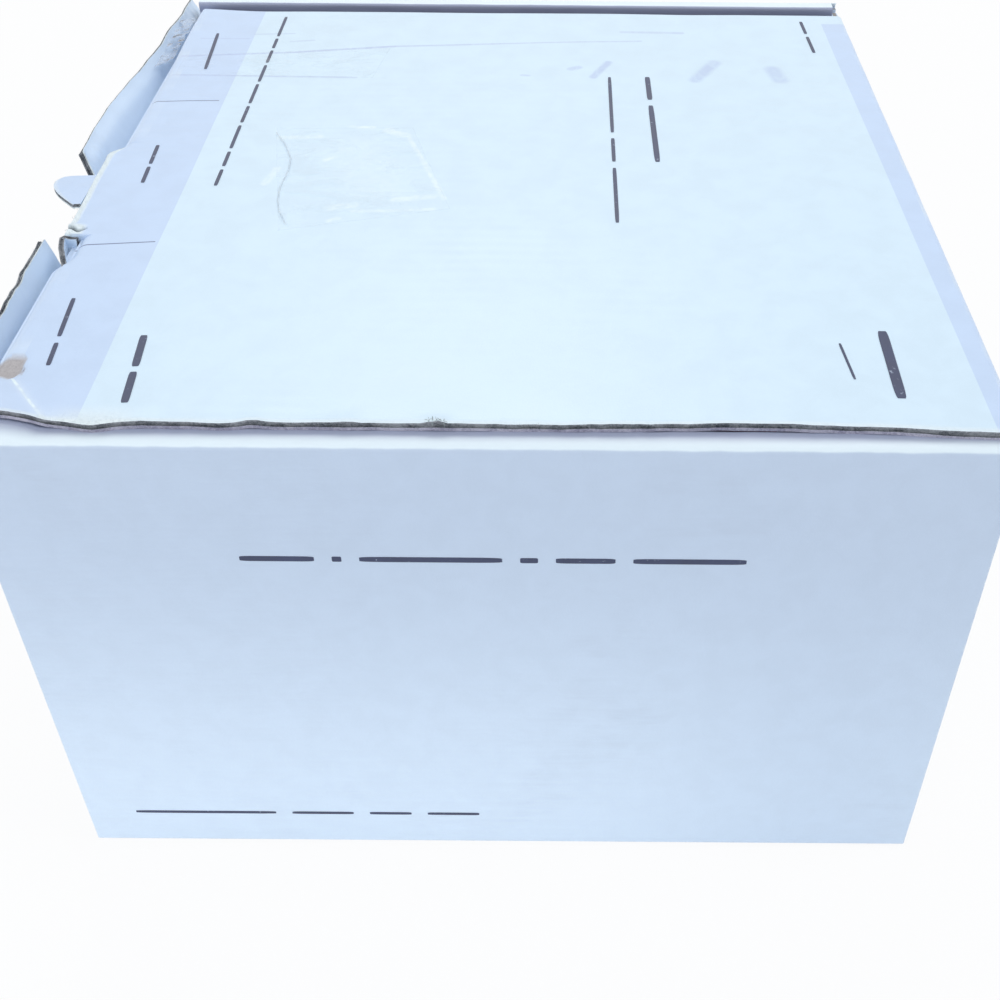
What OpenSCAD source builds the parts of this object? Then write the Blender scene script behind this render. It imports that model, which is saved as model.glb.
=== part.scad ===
// Roll-end mailer carton with a tuck-in lid, holding a nest of disposable eye shields.
// X is the carton's width, Y its depth with the tuck side at -Y and the lid's hinge at +Y, Z is up.
// The origin is the centre of the carton's underside. All lengths are in millimetres.

/* [Room round the shields] */
// Space between the shields and each side wall
side_room = 15.65; // [8:0.05:30]
// Space between the temples' ends and the back wall
back_room = 4.95; // [2:0.05:20]
// Space between the uppermost shield and the lid
head_room = 8.6; // [4:0.1:20]
// Space between the tuck flap and the foremost shield
front_room = 2.5; // [2:0.5:6]

/* [Board] */
// Thickness of the fine-flute board
board_t = 1.5; // [1.2:0.1:2]
// Thickness of each liner sheet of the board
liner_t = 0.3; // [0.2:0.05:0.4]
// Thickness of the wavy middle sheet
medium_t = 0.2; // [0.15:0.05:0.3]
// Length of one flute wave
flute_pitch = 3.2; // [2.8:0.1:4]
// Width of the strip crushed flat beside a fold
crush_w = 2; // [1:0.5:4]
// Depth of the open groove between the liners along a raw edge
edge_groove = 0.8; // [0.4:0.1:1.2]
// Gap between a moving panel and the wall it closes on
panel_gap = 0.3; // [0.2:0.1:0.6]

/* [Lid] */
// Gap between the lid's left edge and the left wall, inside which it lies
lid_gap = 5.6; // [1:0.1:7]
// How far the lid's right edge rides over the right wall's roll
lid_over = 1.5; // [0.5:0.5:3]
// Depth of the flap that tucks in behind the front wall
tuck_h = 32; // [20:1:36]
// Lean of the tucked flap away from the front wall, in degrees
tuck_lean = 10; // [9:1:14]
// Corner radius of the tuck flap
tuck_corner_r = 10; // [4:1:16]
// Gap between each end of the tuck flap and the side wall
tuck_side_gap = 2.5; // [1:0.5:4]
// Left end of the part of the lid that stands out over the front wall
ledge_left = -6; // [-18:0.5:0]
// Right end of that part
ledge_right = 32; // [20:0.5:32]
// How far that part stands out from the fold
ledge_out = 2; // [1.5:0.5:5]
// Width of the half-moon pull tab on the lid's front fold
tab_w = 12.4; // [10:0.2:16]
// How far the pull tab stands out from the fold
tab_out = 10; // [9:0.5:13]
// Place of the pull tab's middle, right of the carton's middle
tab_x = 13.2; // [8:0.2:14]

/* [Front wall] */
// Height of the bent upper lips of the front wall
lip_h = 18; // [10:1:24]
// Outward lean of the left lip, in degrees
left_lean = 26; // [8:1:40]
// Outward lean of the right lip, in degrees
right_lean = 12; // [8:1:40]
// Left end of the gap between the lips, at its foot
gap_left = 6; // [2:1:7]
// Right end of the gap between the lips, at its foot
gap_right = 33; // [30:1:50]
// Slant of the left lip's torn end, over its height
left_slant = 13; // [0:1:20]
// Slant of the right lip's torn end, which points over the gap
right_slant = 1; // [0:1:14]
// Space between a lip and the side wall's roll
lip_side_gap = 0.8; // [0.5:0.1:2]

/* [Side walls] */
// How far the right wall's roll is pressed down under the lid's edge
roll_press = 1.8; // [0:0.2:5]
// Width of each locking tab of the rolled-over wall
lock_w = 26; // [15:1:40]
// Distance of each locking tab from the carton's middle
lock_y = 42; // [25:1:55]
// Clearance round a locking tab in its slot
lock_clear = 0.2; // [0.1:0.05:0.4]
// Length of the corner flaps folded in between the two side walls
corner_flap_l = 68; // [40:1:78]
// Taper of the corner flaps' top and bottom edges
corner_flap_taper = 6; // [0:1:12]

/* [Eye shield] */
// Radius of the lens, which is a bent flat sheet
lens_r = 86; // [80:1:92]
// Turn of the lens from its middle to each end, in degrees
lens_wrap = 55; // [48:1:58]
// Thickness of the lens
lens_t = 0.4; // [0.25:0.05:0.5]
// Height of the lens
lens_h = 55; // [48:1:58]
// Radius of each of the two lobes of the lens's lower edge
lobe_r = 60; // [50:1:70]
// Distance of each lobe's lowest point from the middle
lobe_x = 26; // [20:1:32]
// Radius at the top of the nose cut
nose_r = 8; // [6:0.5:11]
// Height of the nose cut above the lens's foot
nose_h = 20; // [16:1:26]
// Half width of the nose cut at the lens's foot
nose_foot = 17; // [12:1:22]
// Thickness of the brow bar and the temples
bar_t = 2.4; // [1.8:0.1:3]
// How far the lens's top edge lies below the brow bar's top
lens_drop = 0.3; // [0.2:0.1:0.8]
// Clearance between the brow bar and the lens
lens_seat = 0.1; // [0.05:0.05:0.2]
// Outside radius of the lug where the brow bar turns into the temple
lug_r = 16; // [12:1:22]
// How far the lug stands proud of the bar on each side
lug_proud = 0.3; // [0.2:0.1:0.5]
// How far the bar's top and foot stand in from the lug's, which carries the next shield
lug_rise = 0.2; // [0.1:0.05:0.3]
// Turn left free between the lens's end and the lug, in degrees
lens_end_gap = 0.5; // [0.3:0.1:1]
// Depth of a shield from the lens to the ends of its temples
shield_d = 134; // [126:1:137]
// Height of a temple where it starts to bend down
temple_h = 3.2; // [2.6:0.1:3.6]
// Length of the bent ear piece
ear_l = 30; // [20:1:40]
// Downward bend of the ear piece, in degrees
ear_bend = 20; // [10:1:24]
// Radius of the pegs that hold the lens
peg_r = 1.1; // [0.8:0.1:1.4]
// Clearance between a peg and its hole
peg_clear = 0.15; // [0.1:0.05:0.25]
// How far a peg stands out in front of the lens
peg_out = 0.5; // [0.3:0.1:0.7]
// Turn of the outer pegs from the middle, in degrees
peg_turn = 32; // [20:1:42]
// Length of the two nose rests
rest_l = 13; // [9:1:16]
// Width of a nose rest
rest_w = 2.2; // [1.6:0.1:3]
// Thickness of a nose rest
rest_t = 2.2; // [1.6:0.1:2.4]
// Distance of each nose rest from the middle
rest_x = 8; // [6:0.5:11]
// Downward slope of the nose rests, in degrees
rest_slope = 24; // [18:1:26]
// Outward turn of the nose rests, in degrees
rest_splay = 15; // [0:1:25]

/* [Nest] */
// Rise from one nested shield to the next, which is also the lugs' height
nest_rise = 4.6; // [4.2:0.1:5]
// Forward step from one nested shield to the next
nest_step = 1.8; // [1.6:0.1:2]

/* [Hidden] */
$fn = 64;
eps = 0.01;
frame_colours = ["black", "brown", "blue", "purple", "red"];
frame_paints = ["#26272b", "#5b3a26", "#2459b3", "#6a3a9c", "#b8262c"];
copies_each = 2;
shield_count = copies_each * len(frame_colours);
lined_white = "#dfe9f6";
kraft_grey = "#c9cbd0";
lens_clear = [0.86, 0.93, 0.97, 0.35];

// One flute cell: wide at the liner that closes it and narrow at the crest of the medium
cell_base = 0.68 * flute_pitch;
cell_tip = 0.20 * flute_pitch;
edge_margin = edge_groove + liner_t + 0.1 * flute_pitch;

// Outer radius of the brow bar, and centre of the lug's arc at the right temple
bar_out_r = lens_r - lens_seat;
lug_turn = lens_wrap + lens_end_gap;
lug_reach = bar_out_r + lug_proud - lug_r;
lug_centre = [lug_reach * sin(lug_turn), lens_r - lug_reach * cos(lug_turn)];
// The bar and the temple run into the lug by this turn and this length
lug_lap_turn = 1.5;
lug_lap = bar_t / 2;
shield_half_w = lug_centre[0] + lug_r;
temple_out_x = shield_half_w - lug_proud;
straight_l = shield_d - lug_centre[1] - ear_l * cos(ear_bend);

// Three layers of board make each side wall, and the carton is made round its nest of shields
side_stack = 3 * board_t;
// Depth that the tuck flap takes up behind the front wall
tuck_room = tuck_h * sin(tuck_lean) + board_t + panel_gap;
nest_d = shield_d + (shield_count - 1) * nest_step;
nest_h = lens_h + (shield_count - 1) * nest_rise;
inside_x = shield_half_w + side_room;
inside_y = (tuck_room + front_room + nest_d + back_room) / 2;
carton_w = 2 * (inside_x + side_stack);
carton_d = 2 * (inside_y + board_t);
carton_h = nest_h + head_room + 2 * board_t;

// Tops of the walls under the shut lid, and of the left side wall, which isn't pressed down
wall_top = carton_h - board_t - panel_gap;
function side_top(right) = right ? wall_top : wall_top + roll_press;
corner_flap_top = wall_top - board_t - panel_gap;
bend_z = wall_top - lip_h;
// The lid's front fold lies just inside the front wall
fold_y = -(inside_y - panel_gap);

function nest_place(i) = [
    0,
    -inside_y + tuck_room + front_room + (shield_count - 1 - i) * nest_step,
    board_t + lens_h + i * nest_rise
];

function shield_tag(i) = str(frame_colours[floor(i / copies_each)], "_", i % copies_each + 1);
shield_tags = [for (i = [0 : shield_count - 1]) shield_tag(i)];

CARTON_NODES = [
    "bottom_panel", "front_panel", "front_lip_left", "front_lip_right", "back_panel",
    "side_panel_left", "side_panel_right", "roll_over_left", "roll_over_right",
    "corner_flap_front_left", "corner_flap_front_right", "corner_flap_back_left", "corner_flap_back_right",
    "lid_panel", "pull_tab", "tuck_flap"
];

// Board

function cell_count(w) = floor((w - 2 * edge_margin) / (flute_pitch / 2));

// Four corners of a flute cell, opening to the upper or the lower liner
function cell_points(x, up) =
    let (
        base = up ? board_t - liner_t : liner_t,
        tip = up ? liner_t + medium_t : board_t - liner_t - medium_t
    )
    [[x - cell_base / 2, base], [x + cell_base / 2, base], [x + cell_tip / 2, tip], [x - cell_tip / 2, tip]];

// Section across the flutes: outline, grooved at both edges where they are raw, and the row of cells
module board_section(w, raw_edges) {
    n = cell_count(w);
    half = w / 2;
    first = -(n - 1) * flute_pitch / 4;
    lower = liner_t;
    upper = board_t - liner_t;
    groove = [[half, lower], [half - edge_groove, lower], [half - edge_groove, upper], [half, upper]];
    right = concat([[half, 0]], raw_edges ? groove : [], [[half, board_t]]);
    corners = len(right);
    left = [for (k = [corners - 1 : -1 : 0]) [-right[k][0], right[k][1]]];
    cells = [for (i = [0 : n - 1]) each cell_points(first + i * flute_pitch / 2, i % 2 == 1)];
    polygon(
        points = concat(right, left, cells),
        paths = concat(
            [[for (k = [0 : 2 * corners - 1]) k]],
            [for (i = [0 : n - 1]) [for (k = [0 : 3]) 2 * corners + 4 * i + k]]
        )
    );
}

// Board lying on XY, w wide, with its flutes along Y from 0 to l, and crushed flat at a folded end
module board(w, l, crush_start = 0, crush_end = 0, raw_edges = true) {
    translate([0, l - crush_end, 0])
        rotate([90, 0, 0])
            linear_extrude(l - crush_start - crush_end) board_section(w, raw_edges);
    if (crush_start > 0) translate([-w / 2, 0, 0]) cube([w, crush_start, board_t]);
    if (crush_end > 0) translate([-w / 2, l - crush_end, 0]) cube([w, crush_end, board_t]);
}

// The same board trimmed to the outline given as its child
module cut_board(w, l, crush_start = 0, crush_end = 0) {
    intersection() {
        board(w, l, crush_start, crush_end);
        translate([0, 0, -eps]) linear_extrude(board_t + 2 * eps) children();
    }
}

// Quarter-round fold, l long along Y, with its centre on the Y axis and its round towards +X and -Z,
// and the crushed strip above it that joins the wall
module fold_round(l) {
    translate([0, l / 2, 0])
        rotate([90, 0, 0])
            linear_extrude(l) {
                intersection() {
                    circle(board_t);
                    translate([0, -board_t]) square(board_t);
                }
                square([board_t, crush_w]);
            }
}

// Mirrors a right-hand piece to the left, and a back piece to the front
module on_side(right) {
    if (right) children();
    else mirror([1, 0, 0]) children();
}

module at_end(front) {
    if (front) mirror([0, 1, 0]) children();
    else children();
}

// Carton

module lock_place() {
    for (s = [-1, 1]) translate([inside_x, s * lock_y - lock_w / 2, 0]) children();
}

module bottom_panel() {
    w = carton_w - 2 * board_t;
    l = carton_d - 2 * board_t;
    color(kraft_grey)
        difference() {
            translate([0, -l / 2, 0]) board(w, l, crush_w, crush_w);
            for (right = [false, true])
                on_side(right)
                    lock_place()
                        translate([-lock_clear, -lock_clear, -eps])
                            cube([board_t + 2 * lock_clear, lock_w + 2 * lock_clear, board_t + 2 * eps]);
        }
}

// Wall across the carton at its back edge up to z1, with folds to the bottom and to the corner flaps
module cross_wall(z1, flap_top) {
    flat_w = carton_w - 4 * board_t;
    translate([0, carton_d / 2 - board_t, board_t]) {
        translate([0, board_t, 0]) rotate([90, 0, 0]) board(flat_w, z1 - board_t, crush_w, crush_w);
        rotate([0, 0, 90]) fold_round(flat_w);
        for (s = [-1, 1])
            intersection() {
                translate([s * flat_w / 2, 0, 0]) cylinder(r = board_t, h = flap_top - board_t);
                translate([s * carton_w / 2, carton_w / 2, 0])
                    cube([4 * board_t, carton_w, 2 * carton_w], center = true);
            }
    }
}

module back_panel() {
    color(lined_white) cross_wall(wall_top, corner_flap_top);
}

module front_panel() {
    color(lined_white) at_end(true) cross_wall(bend_z, bend_z);
}

// Lip of the front wall, bent outward about the wall's outer face at the bend
module front_lip(x_outer, x_foot, x_top, lean) {
    color(lined_white)
        translate([0, -carton_d / 2, bend_z])
            rotate([lean, 0, 0])
                translate([0, board_t, 0])
                    rotate([90, 0, 0])
                        cut_board(carton_w, lip_h)
                            polygon([[x_outer, 0], [x_foot, 0], [x_top, lip_h], [x_outer, lip_h]]);
}

module front_lip_left() {
    front_lip(-(inside_x - lip_side_gap), gap_left, gap_left - left_slant, left_lean);
}

module front_lip_right() {
    front_lip(inside_x - lip_side_gap, gap_right, gap_right - right_slant, right_lean);
}

// Outer layer of the side wall, with its fold to the bottom
module side_panel(right) {
    h = side_top(right) - 2 * board_t;
    color(lined_white)
        on_side(right) {
            translate([carton_w / 2, -carton_d / 2, board_t + h / 2])
                rotate([0, -90, 0]) board(h, carton_d, raw_edges = false);
            translate([carton_w / 2 - board_t, 0, board_t]) fold_round(2 * inside_y);
        }
}

// The side panel's roll over its own top edge and down inside, with tabs locked in the bottom
module roll_over(right) {
    top = side_top(right) - board_t;
    h = top - board_t;
    wall_l = 2 * (inside_y - panel_gap);
    roll_l = carton_d - board_t;
    color(lined_white)
        on_side(right) {
            translate([inside_x + board_t, -wall_l / 2, board_t + h / 2])
                rotate([0, -90, 0]) board(h, wall_l, raw_edges = false);
            translate([0, roll_l - carton_d / 2, top])
                rotate([90, 0, 0])
                    linear_extrude(roll_l) {
                        intersection() {
                            for (x = [inside_x, carton_w / 2 - 2 * board_t]) translate([x + board_t, 0]) circle(board_t);
                            translate([inside_x, 0]) square([side_stack, board_t]);
                        }
                        translate([inside_x + board_t, 0]) square(board_t);
                        translate([inside_x, -crush_w]) square([board_t, crush_w]);
                    }
            lock_place() translate([0, 0, panel_gap]) cube([board_t, lock_w, board_t - panel_gap + crush_w]);
        }
}

// Flap folded in from the front or back wall, between the two layers of the side wall
module corner_flap(right, front) {
    h = corner_flap_top - board_t;
    half = corner_flap_l / 2;
    taper = corner_flap_taper;
    color(kraft_grey)
        on_side(right)
            at_end(front)
                translate([inside_x + board_t, inside_y - half, board_t])
                    rotate([90, 0, 90])
                        cut_board(corner_flap_l, h)
                            polygon([[half, 0], [half, h], [-half, h - taper], [-half, taper]]);
}

// Lid

// The lid lies inside the left wall and rides over the right one
module lid_panel() {
    w = 2 * inside_x - lid_gap + lid_over;
    color(lined_white)
        translate([0, fold_y, carton_h - board_t]) {
            translate([(lid_over + lid_gap) / 2, 0, 0]) board(w, carton_d / 2 - fold_y, crush_w, crush_w);
            translate([ledge_left, -ledge_out, 0]) cube([ledge_right - ledge_left, ledge_out + crush_w, board_t]);
        }
}

// Half-moon that stays level with the lid when the tuck flap folds down
module pull_tab() {
    r = tab_w / 2;
    neck = tab_out - r;
    color(lined_white)
        translate([tab_x, fold_y, carton_h - board_t])
            linear_extrude(board_t) {
                if (neck > ledge_out) translate([-r, -neck]) square([tab_w, neck - ledge_out]);
                intersection() {
                    translate([0, -neck]) circle(r);
                    translate([-r, -tab_out]) square([tab_w, tab_out - max(neck, ledge_out)]);
                }
            }
}

module flap_outline(w, h, r) {
    translate([-w / 2, r]) square([w, h - r]);
    translate([-w / 2 + r, 0]) square([w - 2 * r, h]);
    for (s = [-1, 1]) translate([s * (w / 2 - r), r]) circle(r);
}

// Flap that hangs from the lid's front fold, leaning in behind the front wall
module tuck_flap() {
    w = 2 * (inside_x - tuck_side_gap);
    start = board_t + 2 * panel_gap;
    color(lined_white)
        translate([0, fold_y, carton_h])
            rotate([tuck_lean, 0, 0])
                translate([0, board_t, -tuck_h])
                    rotate([90, 0, 0])
                        cut_board(w, tuck_h - start, 0, crush_w) flap_outline(w, tuck_h - start, tuck_corner_r);
}

// Eye shield, with the foremost point of its lens at the origin and its lugs' top at z 0

module lens_outline() {
    difference() {
        intersection() {
            translate([-lens_r, -lens_h]) square([2 * lens_r, lens_h - lens_drop]);
            for (s = [-1, 1]) translate([s * lobe_x, lobe_r - lens_h]) circle(lobe_r);
        }
        translate([0, nose_h - nose_r - lens_h]) circle(nose_r);
        polygon([
            [-nose_r, nose_h - nose_r - lens_h], [nose_r, nose_h - nose_r - lens_h],
            [nose_foot, -lens_h - 1], [-nose_foot, -lens_h - 1]
        ]);
    }
}

// Places a child pointing along +X at a turn round the lens's axis
module around_lens(turn) {
    translate([0, lens_r, 0]) rotate([0, 0, turn - 90]) children();
}

module peg_rod(r, from, to) {
    for (turn = [-peg_turn, 0, peg_turn])
        around_lens(turn)
            translate([from, 0, -nest_rise / 2]) rotate([0, 90, 0]) cylinder(r = r, h = to - from);
}

module shield_lens() {
    color(lens_clear)
        difference() {
            intersection() {
                around_lens(-lens_wrap)
                    rotate_extrude(angle = 2 * lens_wrap) translate([lens_r, -lens_h]) square([lens_t, lens_h]);
                translate([0, lens_r, 0]) rotate([90, 0, 0]) linear_extrude(lens_r + 1) lens_outline();
            }
            peg_rod(peg_r + peg_clear, lens_r - 1, lens_r + lens_t + 1);
        }
}

// Side view of a temple from its root in the lug: straight bar, then the ear piece bent down
module temple_outline() {
    polygon([
        [-lug_lap, -lug_rise], [straight_l, -lug_rise],
        [straight_l, -lug_rise - temple_h], [-lug_lap, lug_rise - nest_rise]
    ]);
    translate([straight_l, -lug_rise])
        rotate(-ear_bend) {
            translate([0, -temple_h]) square([ear_l - temple_h / 2, temple_h]);
            translate([ear_l - temple_h / 2, -temple_h / 2]) circle(temple_h / 2);
        }
}

module temple() {
    lug_t = bar_t + 2 * lug_proud;
    translate([lug_centre[0], lug_centre[1], -nest_rise])
        rotate([0, 0, lug_turn - 90])
            rotate_extrude(angle = 90 - lug_turn)
                translate([lug_r - lug_t, 0]) square([lug_t, nest_rise]);
    translate([temple_out_x - bar_t, lug_centre[1], 0])
        rotate([90, 0, 90]) linear_extrude(bar_t) temple_outline();
}

module nose_rest() {
    translate([rest_x, lens_seat + bar_t / 2, -lug_rise - rest_t / 2])
        rotate([-rest_slope, 0, -rest_splay])
            translate([-rest_w / 2, 0, -rest_t / 2]) {
                cube([rest_w, rest_l - rest_t / 2, rest_t]);
                translate([0, rest_l - rest_t / 2, rest_t / 2])
                    rotate([0, 90, 0]) cylinder(r = rest_t / 2, h = rest_w);
            }
}

module brow_bar() {
    turn = lug_turn + lug_lap_turn;
    around_lens(-turn)
        rotate_extrude(angle = 2 * turn)
            translate([bar_out_r - bar_t, lug_rise - nest_rise]) square([bar_t, nest_rise - 2 * lug_rise]);
}

module shield_frame(paint) {
    color(paint) {
        brow_bar();
        peg_rod(peg_r, bar_out_r - bar_t / 2, lens_r + lens_t + peg_out);
        for (right = [false, true])
            on_side(right) {
                temple();
                nose_rest();
            }
    }
}

bottom_panel();
front_panel();
front_lip_left();
front_lip_right();
back_panel();
side_panel(false);  // side_panel_left
side_panel(true);  // side_panel_right
roll_over(false);  // roll_over_left
roll_over(true);  // roll_over_right
corner_flap(false, true);  // corner_flap_front_left
corner_flap(true, true);  // corner_flap_front_right
corner_flap(false, false);  // corner_flap_back_left
corner_flap(true, false);  // corner_flap_back_right
lid_panel();
pull_tab();
tuck_flap();
for (i = [0 : shield_count - 1]) {
    paint = frame_paints[floor(i / copies_each)];
    translate(nest_place(i)) shield_frame(paint);
    translate(nest_place(i)) shield_lens();
}
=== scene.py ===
"""Looks of the carton of eye shields: liners, torn board, tape, print, shields, floor, lamps and camera.

Lengths in this script are in millimetres, in the same frame as the CAD part, and are turned into metres
where a mesh is made.
"""

import math

import bmesh
import bpy
import numpy as np
from mathutils import Matrix, Vector, noise


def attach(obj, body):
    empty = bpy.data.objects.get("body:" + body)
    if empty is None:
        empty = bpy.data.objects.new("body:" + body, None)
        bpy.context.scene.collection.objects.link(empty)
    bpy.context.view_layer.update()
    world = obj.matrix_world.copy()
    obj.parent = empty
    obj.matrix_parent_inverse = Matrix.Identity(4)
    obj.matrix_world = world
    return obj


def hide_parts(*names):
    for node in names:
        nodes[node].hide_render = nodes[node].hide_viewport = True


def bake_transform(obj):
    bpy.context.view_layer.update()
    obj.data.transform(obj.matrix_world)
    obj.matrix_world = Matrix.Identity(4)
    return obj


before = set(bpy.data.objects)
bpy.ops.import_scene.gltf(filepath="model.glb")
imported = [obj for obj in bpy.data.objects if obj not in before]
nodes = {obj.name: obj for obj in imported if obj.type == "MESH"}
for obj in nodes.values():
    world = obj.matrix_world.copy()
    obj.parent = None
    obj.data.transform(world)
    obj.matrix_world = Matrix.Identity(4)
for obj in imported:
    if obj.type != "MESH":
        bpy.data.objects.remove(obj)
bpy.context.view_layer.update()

MM = 0.001

# Board
BOARD_T = 1.5
LINER_T = 0.3
FLUTE_PITCH = 3.2
COVER_T = 0.2
TAPE_T = 0.03
INK_T = 0.03 * MM

# Faces that meet at more than this are shaded as an edge
SHARP = math.radians(40.0)

# Carton
HALF_W = 94.0
HALF_D = 84.0
INSIDE_X = 89.5
RIGHT_TOP = 106.2
LEFT_TOP = 108.0
BEND_Z = 88.2

# X on the lid and the lips is measured from a line this far right of the carton's middle
LID_MIDDLE = 2.0
LIP_LEFT_END = -95.4
LIP_RIGHT_END = 86.7

# Lid
LID_LEFT = -85.9
LID_RIGHT = 89.0
LID_TOP = 108.0
FOLD_Y = -82.2
LEDGE_LEFT = -8.0
LEDGE_RIGHT = 30.6
LEDGE_OUT = 2.0
TUCK_LEAN = 10.0

# Where the lid's corner is bent up: two points of the crease
DOG_EAR = ((79.3, -76.7), (88.0, -70.0))

# Humps along the lid's right edge: (middle, width, height, X from which it rises) and (middle, width, reach)
EDGE_HUMPS = ((-22.0, 1.6, 0.35, 85.0), (-8.0, 1.3, 0.55, 86.0), (-36.0, 3.0, 0.2, 80.0))
EDGE_REACHES = ((-62.0, 3.4, 1.15), (-37.0, 1.6, -0.4), (-42.0, 3.0, 0.35), (40.0, 15.0, -0.7))


# Numbers


def smooth(low, high, value):
    t = min(1.0, max(0.0, (value - low) / (high - low)))
    return t * t * (3 - 2 * t)


def hump(offset, width):
    """A bell from 1 in its middle down to 0."""
    return math.exp(-(offset / width) ** 2)


def ripple(x, y, size, seed=0.0):
    """Smooth noise from -1 to 1 with humps about size across."""
    return noise.noise(Vector((x / size, y / size, seed)))


def srgb(red, green, blue):
    def linear(c):
        c = c / 255
        return c / 12.92 if c <= 0.04045 else ((c + 0.055) / 1.055) ** 2.4

    return (linear(red), linear(green), linear(blue), 1.0)


PRINT_WHITE = srgb(221, 240, 252)
SIDE_WHITE = srgb(212, 226, 244)
# Painted highlight for the side walls' rolled tops
ROLL_PAINTED_HIGHLIGHT = srgb(240, 251, 255)
# Painted shade for the rolls: the lid's shadow on the right roll and the dark gap inside the left one
ROLL_PAINTED_SHADE = srgb(148, 152, 184)
LILAC = srgb(206, 224, 248)
INK = srgb(58, 66, 96)
CORE_GREY = srgb(128, 120, 116)
CORE_PALE = srgb(176, 170, 164)
TORN_WHITE = srgb(238, 246, 246)
INNER_GREY = srgb(196, 196, 198)
RULE_INK = srgb(92, 102, 140)
SMEAR = srgb(190, 206, 236)
TAPE_TRACE = srgb(186, 199, 230)
# Whitish film where tape has let go, with painted highlights along the tape's edges
MILK_AND_PAINTED_HIGHLIGHT = srgb(240, 253, 255)
GRIME = srgb(150, 155, 175)
RUBBED = srgb(244, 253, 254)
TORN_LOW = srgb(162, 156, 156)
TORN_HIGH = srgb(216, 210, 208)
# Painted shade for the lid's slit, under the torn spot's edge and along the ledge's front edge
CUT_PAINTED_SHADE = srgb(84, 92, 98)


# Node trees


class Wiring:
    """Adds nodes to a tree and joins them, so that a material or a tree reads from top to bottom."""

    def __init__(self, tree):
        self.tree = tree

    def feed(self, socket, value):
        if isinstance(value, bpy.types.NodeSocket):
            self.tree.links.new(value, socket)
        elif value is not None:
            socket.default_value = value

    def node(self, kind, settings=None, **inputs):
        made = self.tree.nodes.new(kind)
        for key, value in (settings or {}).items():
            setattr(made, key, value)
        for key, value in inputs.items():
            self.feed(made.inputs[key.replace("_", " ")], value)
        return made

    def math(self, operation, a, b=None):
        made = self.node("ShaderNodeMath", {"operation": operation})
        self.feed(made.inputs[0], a)
        self.feed(made.inputs[1], b)
        return made.outputs[0]

    def chained(self, operation, values):
        result = values[0]
        for value in values[1:]:
            result = self.math(operation, result, value)
        return result

    def times(self, *values):
        return self.chained("MULTIPLY", values)

    def plus(self, *values):
        return self.chained("ADD", values)

    def most(self, *values):
        return self.chained("MAXIMUM", values)

    def vector(self, operation, a, b=None, scale=None):
        made = self.node("ShaderNodeVectorMath", {"operation": operation})
        self.feed(made.inputs[0], a)
        self.feed(made.inputs[1], b)
        self.feed(made.inputs[3], scale)
        return made.outputs[1] if operation in ("DOT_PRODUCT", "LENGTH", "DISTANCE") else made.outputs[0]

    def spread(self, value, low, high, to_low=0.0, to_high=1.0):
        """Smooth step of value from low to high."""
        made = self.node("ShaderNodeMapRange", {"interpolation_type": "SMOOTHSTEP"})
        for key, v in zip(("Value", "From Min", "From Max", "To Min", "To Max"), (value, low, high, to_low, to_high)):
            self.feed(made.inputs[key], v)
        return made.outputs["Result"]

    def blend(self, factor, a, b):
        made = self.node("ShaderNodeMix", {"data_type": "RGBA"})
        self.feed(made.inputs[0], factor)
        self.feed(made.inputs[6], a)
        self.feed(made.inputs[7], b)
        return made.outputs[2]

    def noise(self, vector, scale, detail=2.0, roughness=0.5, distortion=0.0):
        made = self.node("ShaderNodeTexNoise")
        for key, v in (("Vector", vector), ("Scale", scale), ("Detail", detail), ("Roughness", roughness),
                       ("Distortion", distortion)):
            self.feed(made.inputs[key], v)
        return made.outputs["Fac"]

    def attribute(self, name):
        return self.node("ShaderNodeAttribute", {"attribute_name": name}).outputs["Fac"]

    def arrow(self, name):
        """The named vector of each point, in a geometry node tree."""
        return self.node("GeometryNodeInputNamedAttribute", {"data_type": "FLOAT_VECTOR"}, Name=name).outputs[0]

    def random(self, low, high, seed):
        """A random number for each point, or a vector where low and high are vectors."""
        numbers = not isinstance(low, tuple)
        made = self.node("FunctionNodeRandomValue", {"data_type": "FLOAT" if numbers else "FLOAT_VECTOR"}, Seed=seed)
        for socket, value in zip(made.inputs[2:] if numbers else made.inputs, (low, high)):
            self.feed(socket, value)
        return made.outputs[1 if numbers else 0]

    def seen_directly(self):
        """1 for what the camera, a mirror or a lens sees."""
        ray = self.node("ShaderNodeLightPath").outputs
        return self.most(ray["Is Camera Ray"], ray["Is Glossy Ray"], ray["Is Transmission Ray"])

    def group(self, tree, **inputs):
        made = self.node("ShaderNodeGroup", {"node_tree": tree})
        for key, value in inputs.items():
            self.feed(made.inputs[key.replace("_", " ")], value)
        return made.outputs


SOCKETS = {float: "NodeSocketFloat", int: "NodeSocketInt", tuple: "NodeSocketVector"}


def start_group(name, kind, inputs, outputs, result="NodeSocketFloat"):
    """A node tree with named sockets. An input is given by its value, or by its socket's type."""
    tree = bpy.data.node_groups.new(name, kind)
    for label, value in inputs.items():
        plain = isinstance(value, str)
        socket = value if plain else SOCKETS[type(value)]
        made = tree.interface.new_socket(name=label, in_out="INPUT", socket_type=socket)
        if not plain:
            made.default_value = value
    for label in outputs:
        tree.interface.new_socket(name=label, in_out="OUTPUT", socket_type=result)
    w = Wiring(tree)
    return w, w.node("NodeGroupInput").outputs, w.node("NodeGroupOutput").inputs


# Shader groups


def make_paper_grain():
    w, given, out = start_group(
        "paper_grain", "ShaderNodeTree", {"Vector": "NodeSocketVector", "Fibre Scale": 2600.0, "Mottle Scale": 160.0},
        ("Tone", "Height"),
    )
    fibre = w.noise(given["Vector"], given["Fibre Scale"], 3.0, 0.6, 0.6)
    mottle = w.noise(given["Vector"], given["Mottle Scale"], 3.0, 0.55, 0.3)
    fine = w.spread(fibre, 0.25, 0.8, -0.5, 0.5)
    wide = w.spread(mottle, 0.3, 0.7, -0.5, 0.5)
    w.feed(out["Tone"], w.plus(w.times(fine, 0.5), wide))
    w.feed(out["Height"], w.plus(w.times(fibre, 0.6), w.times(mottle, 0.4)))
    return w.tree


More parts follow.
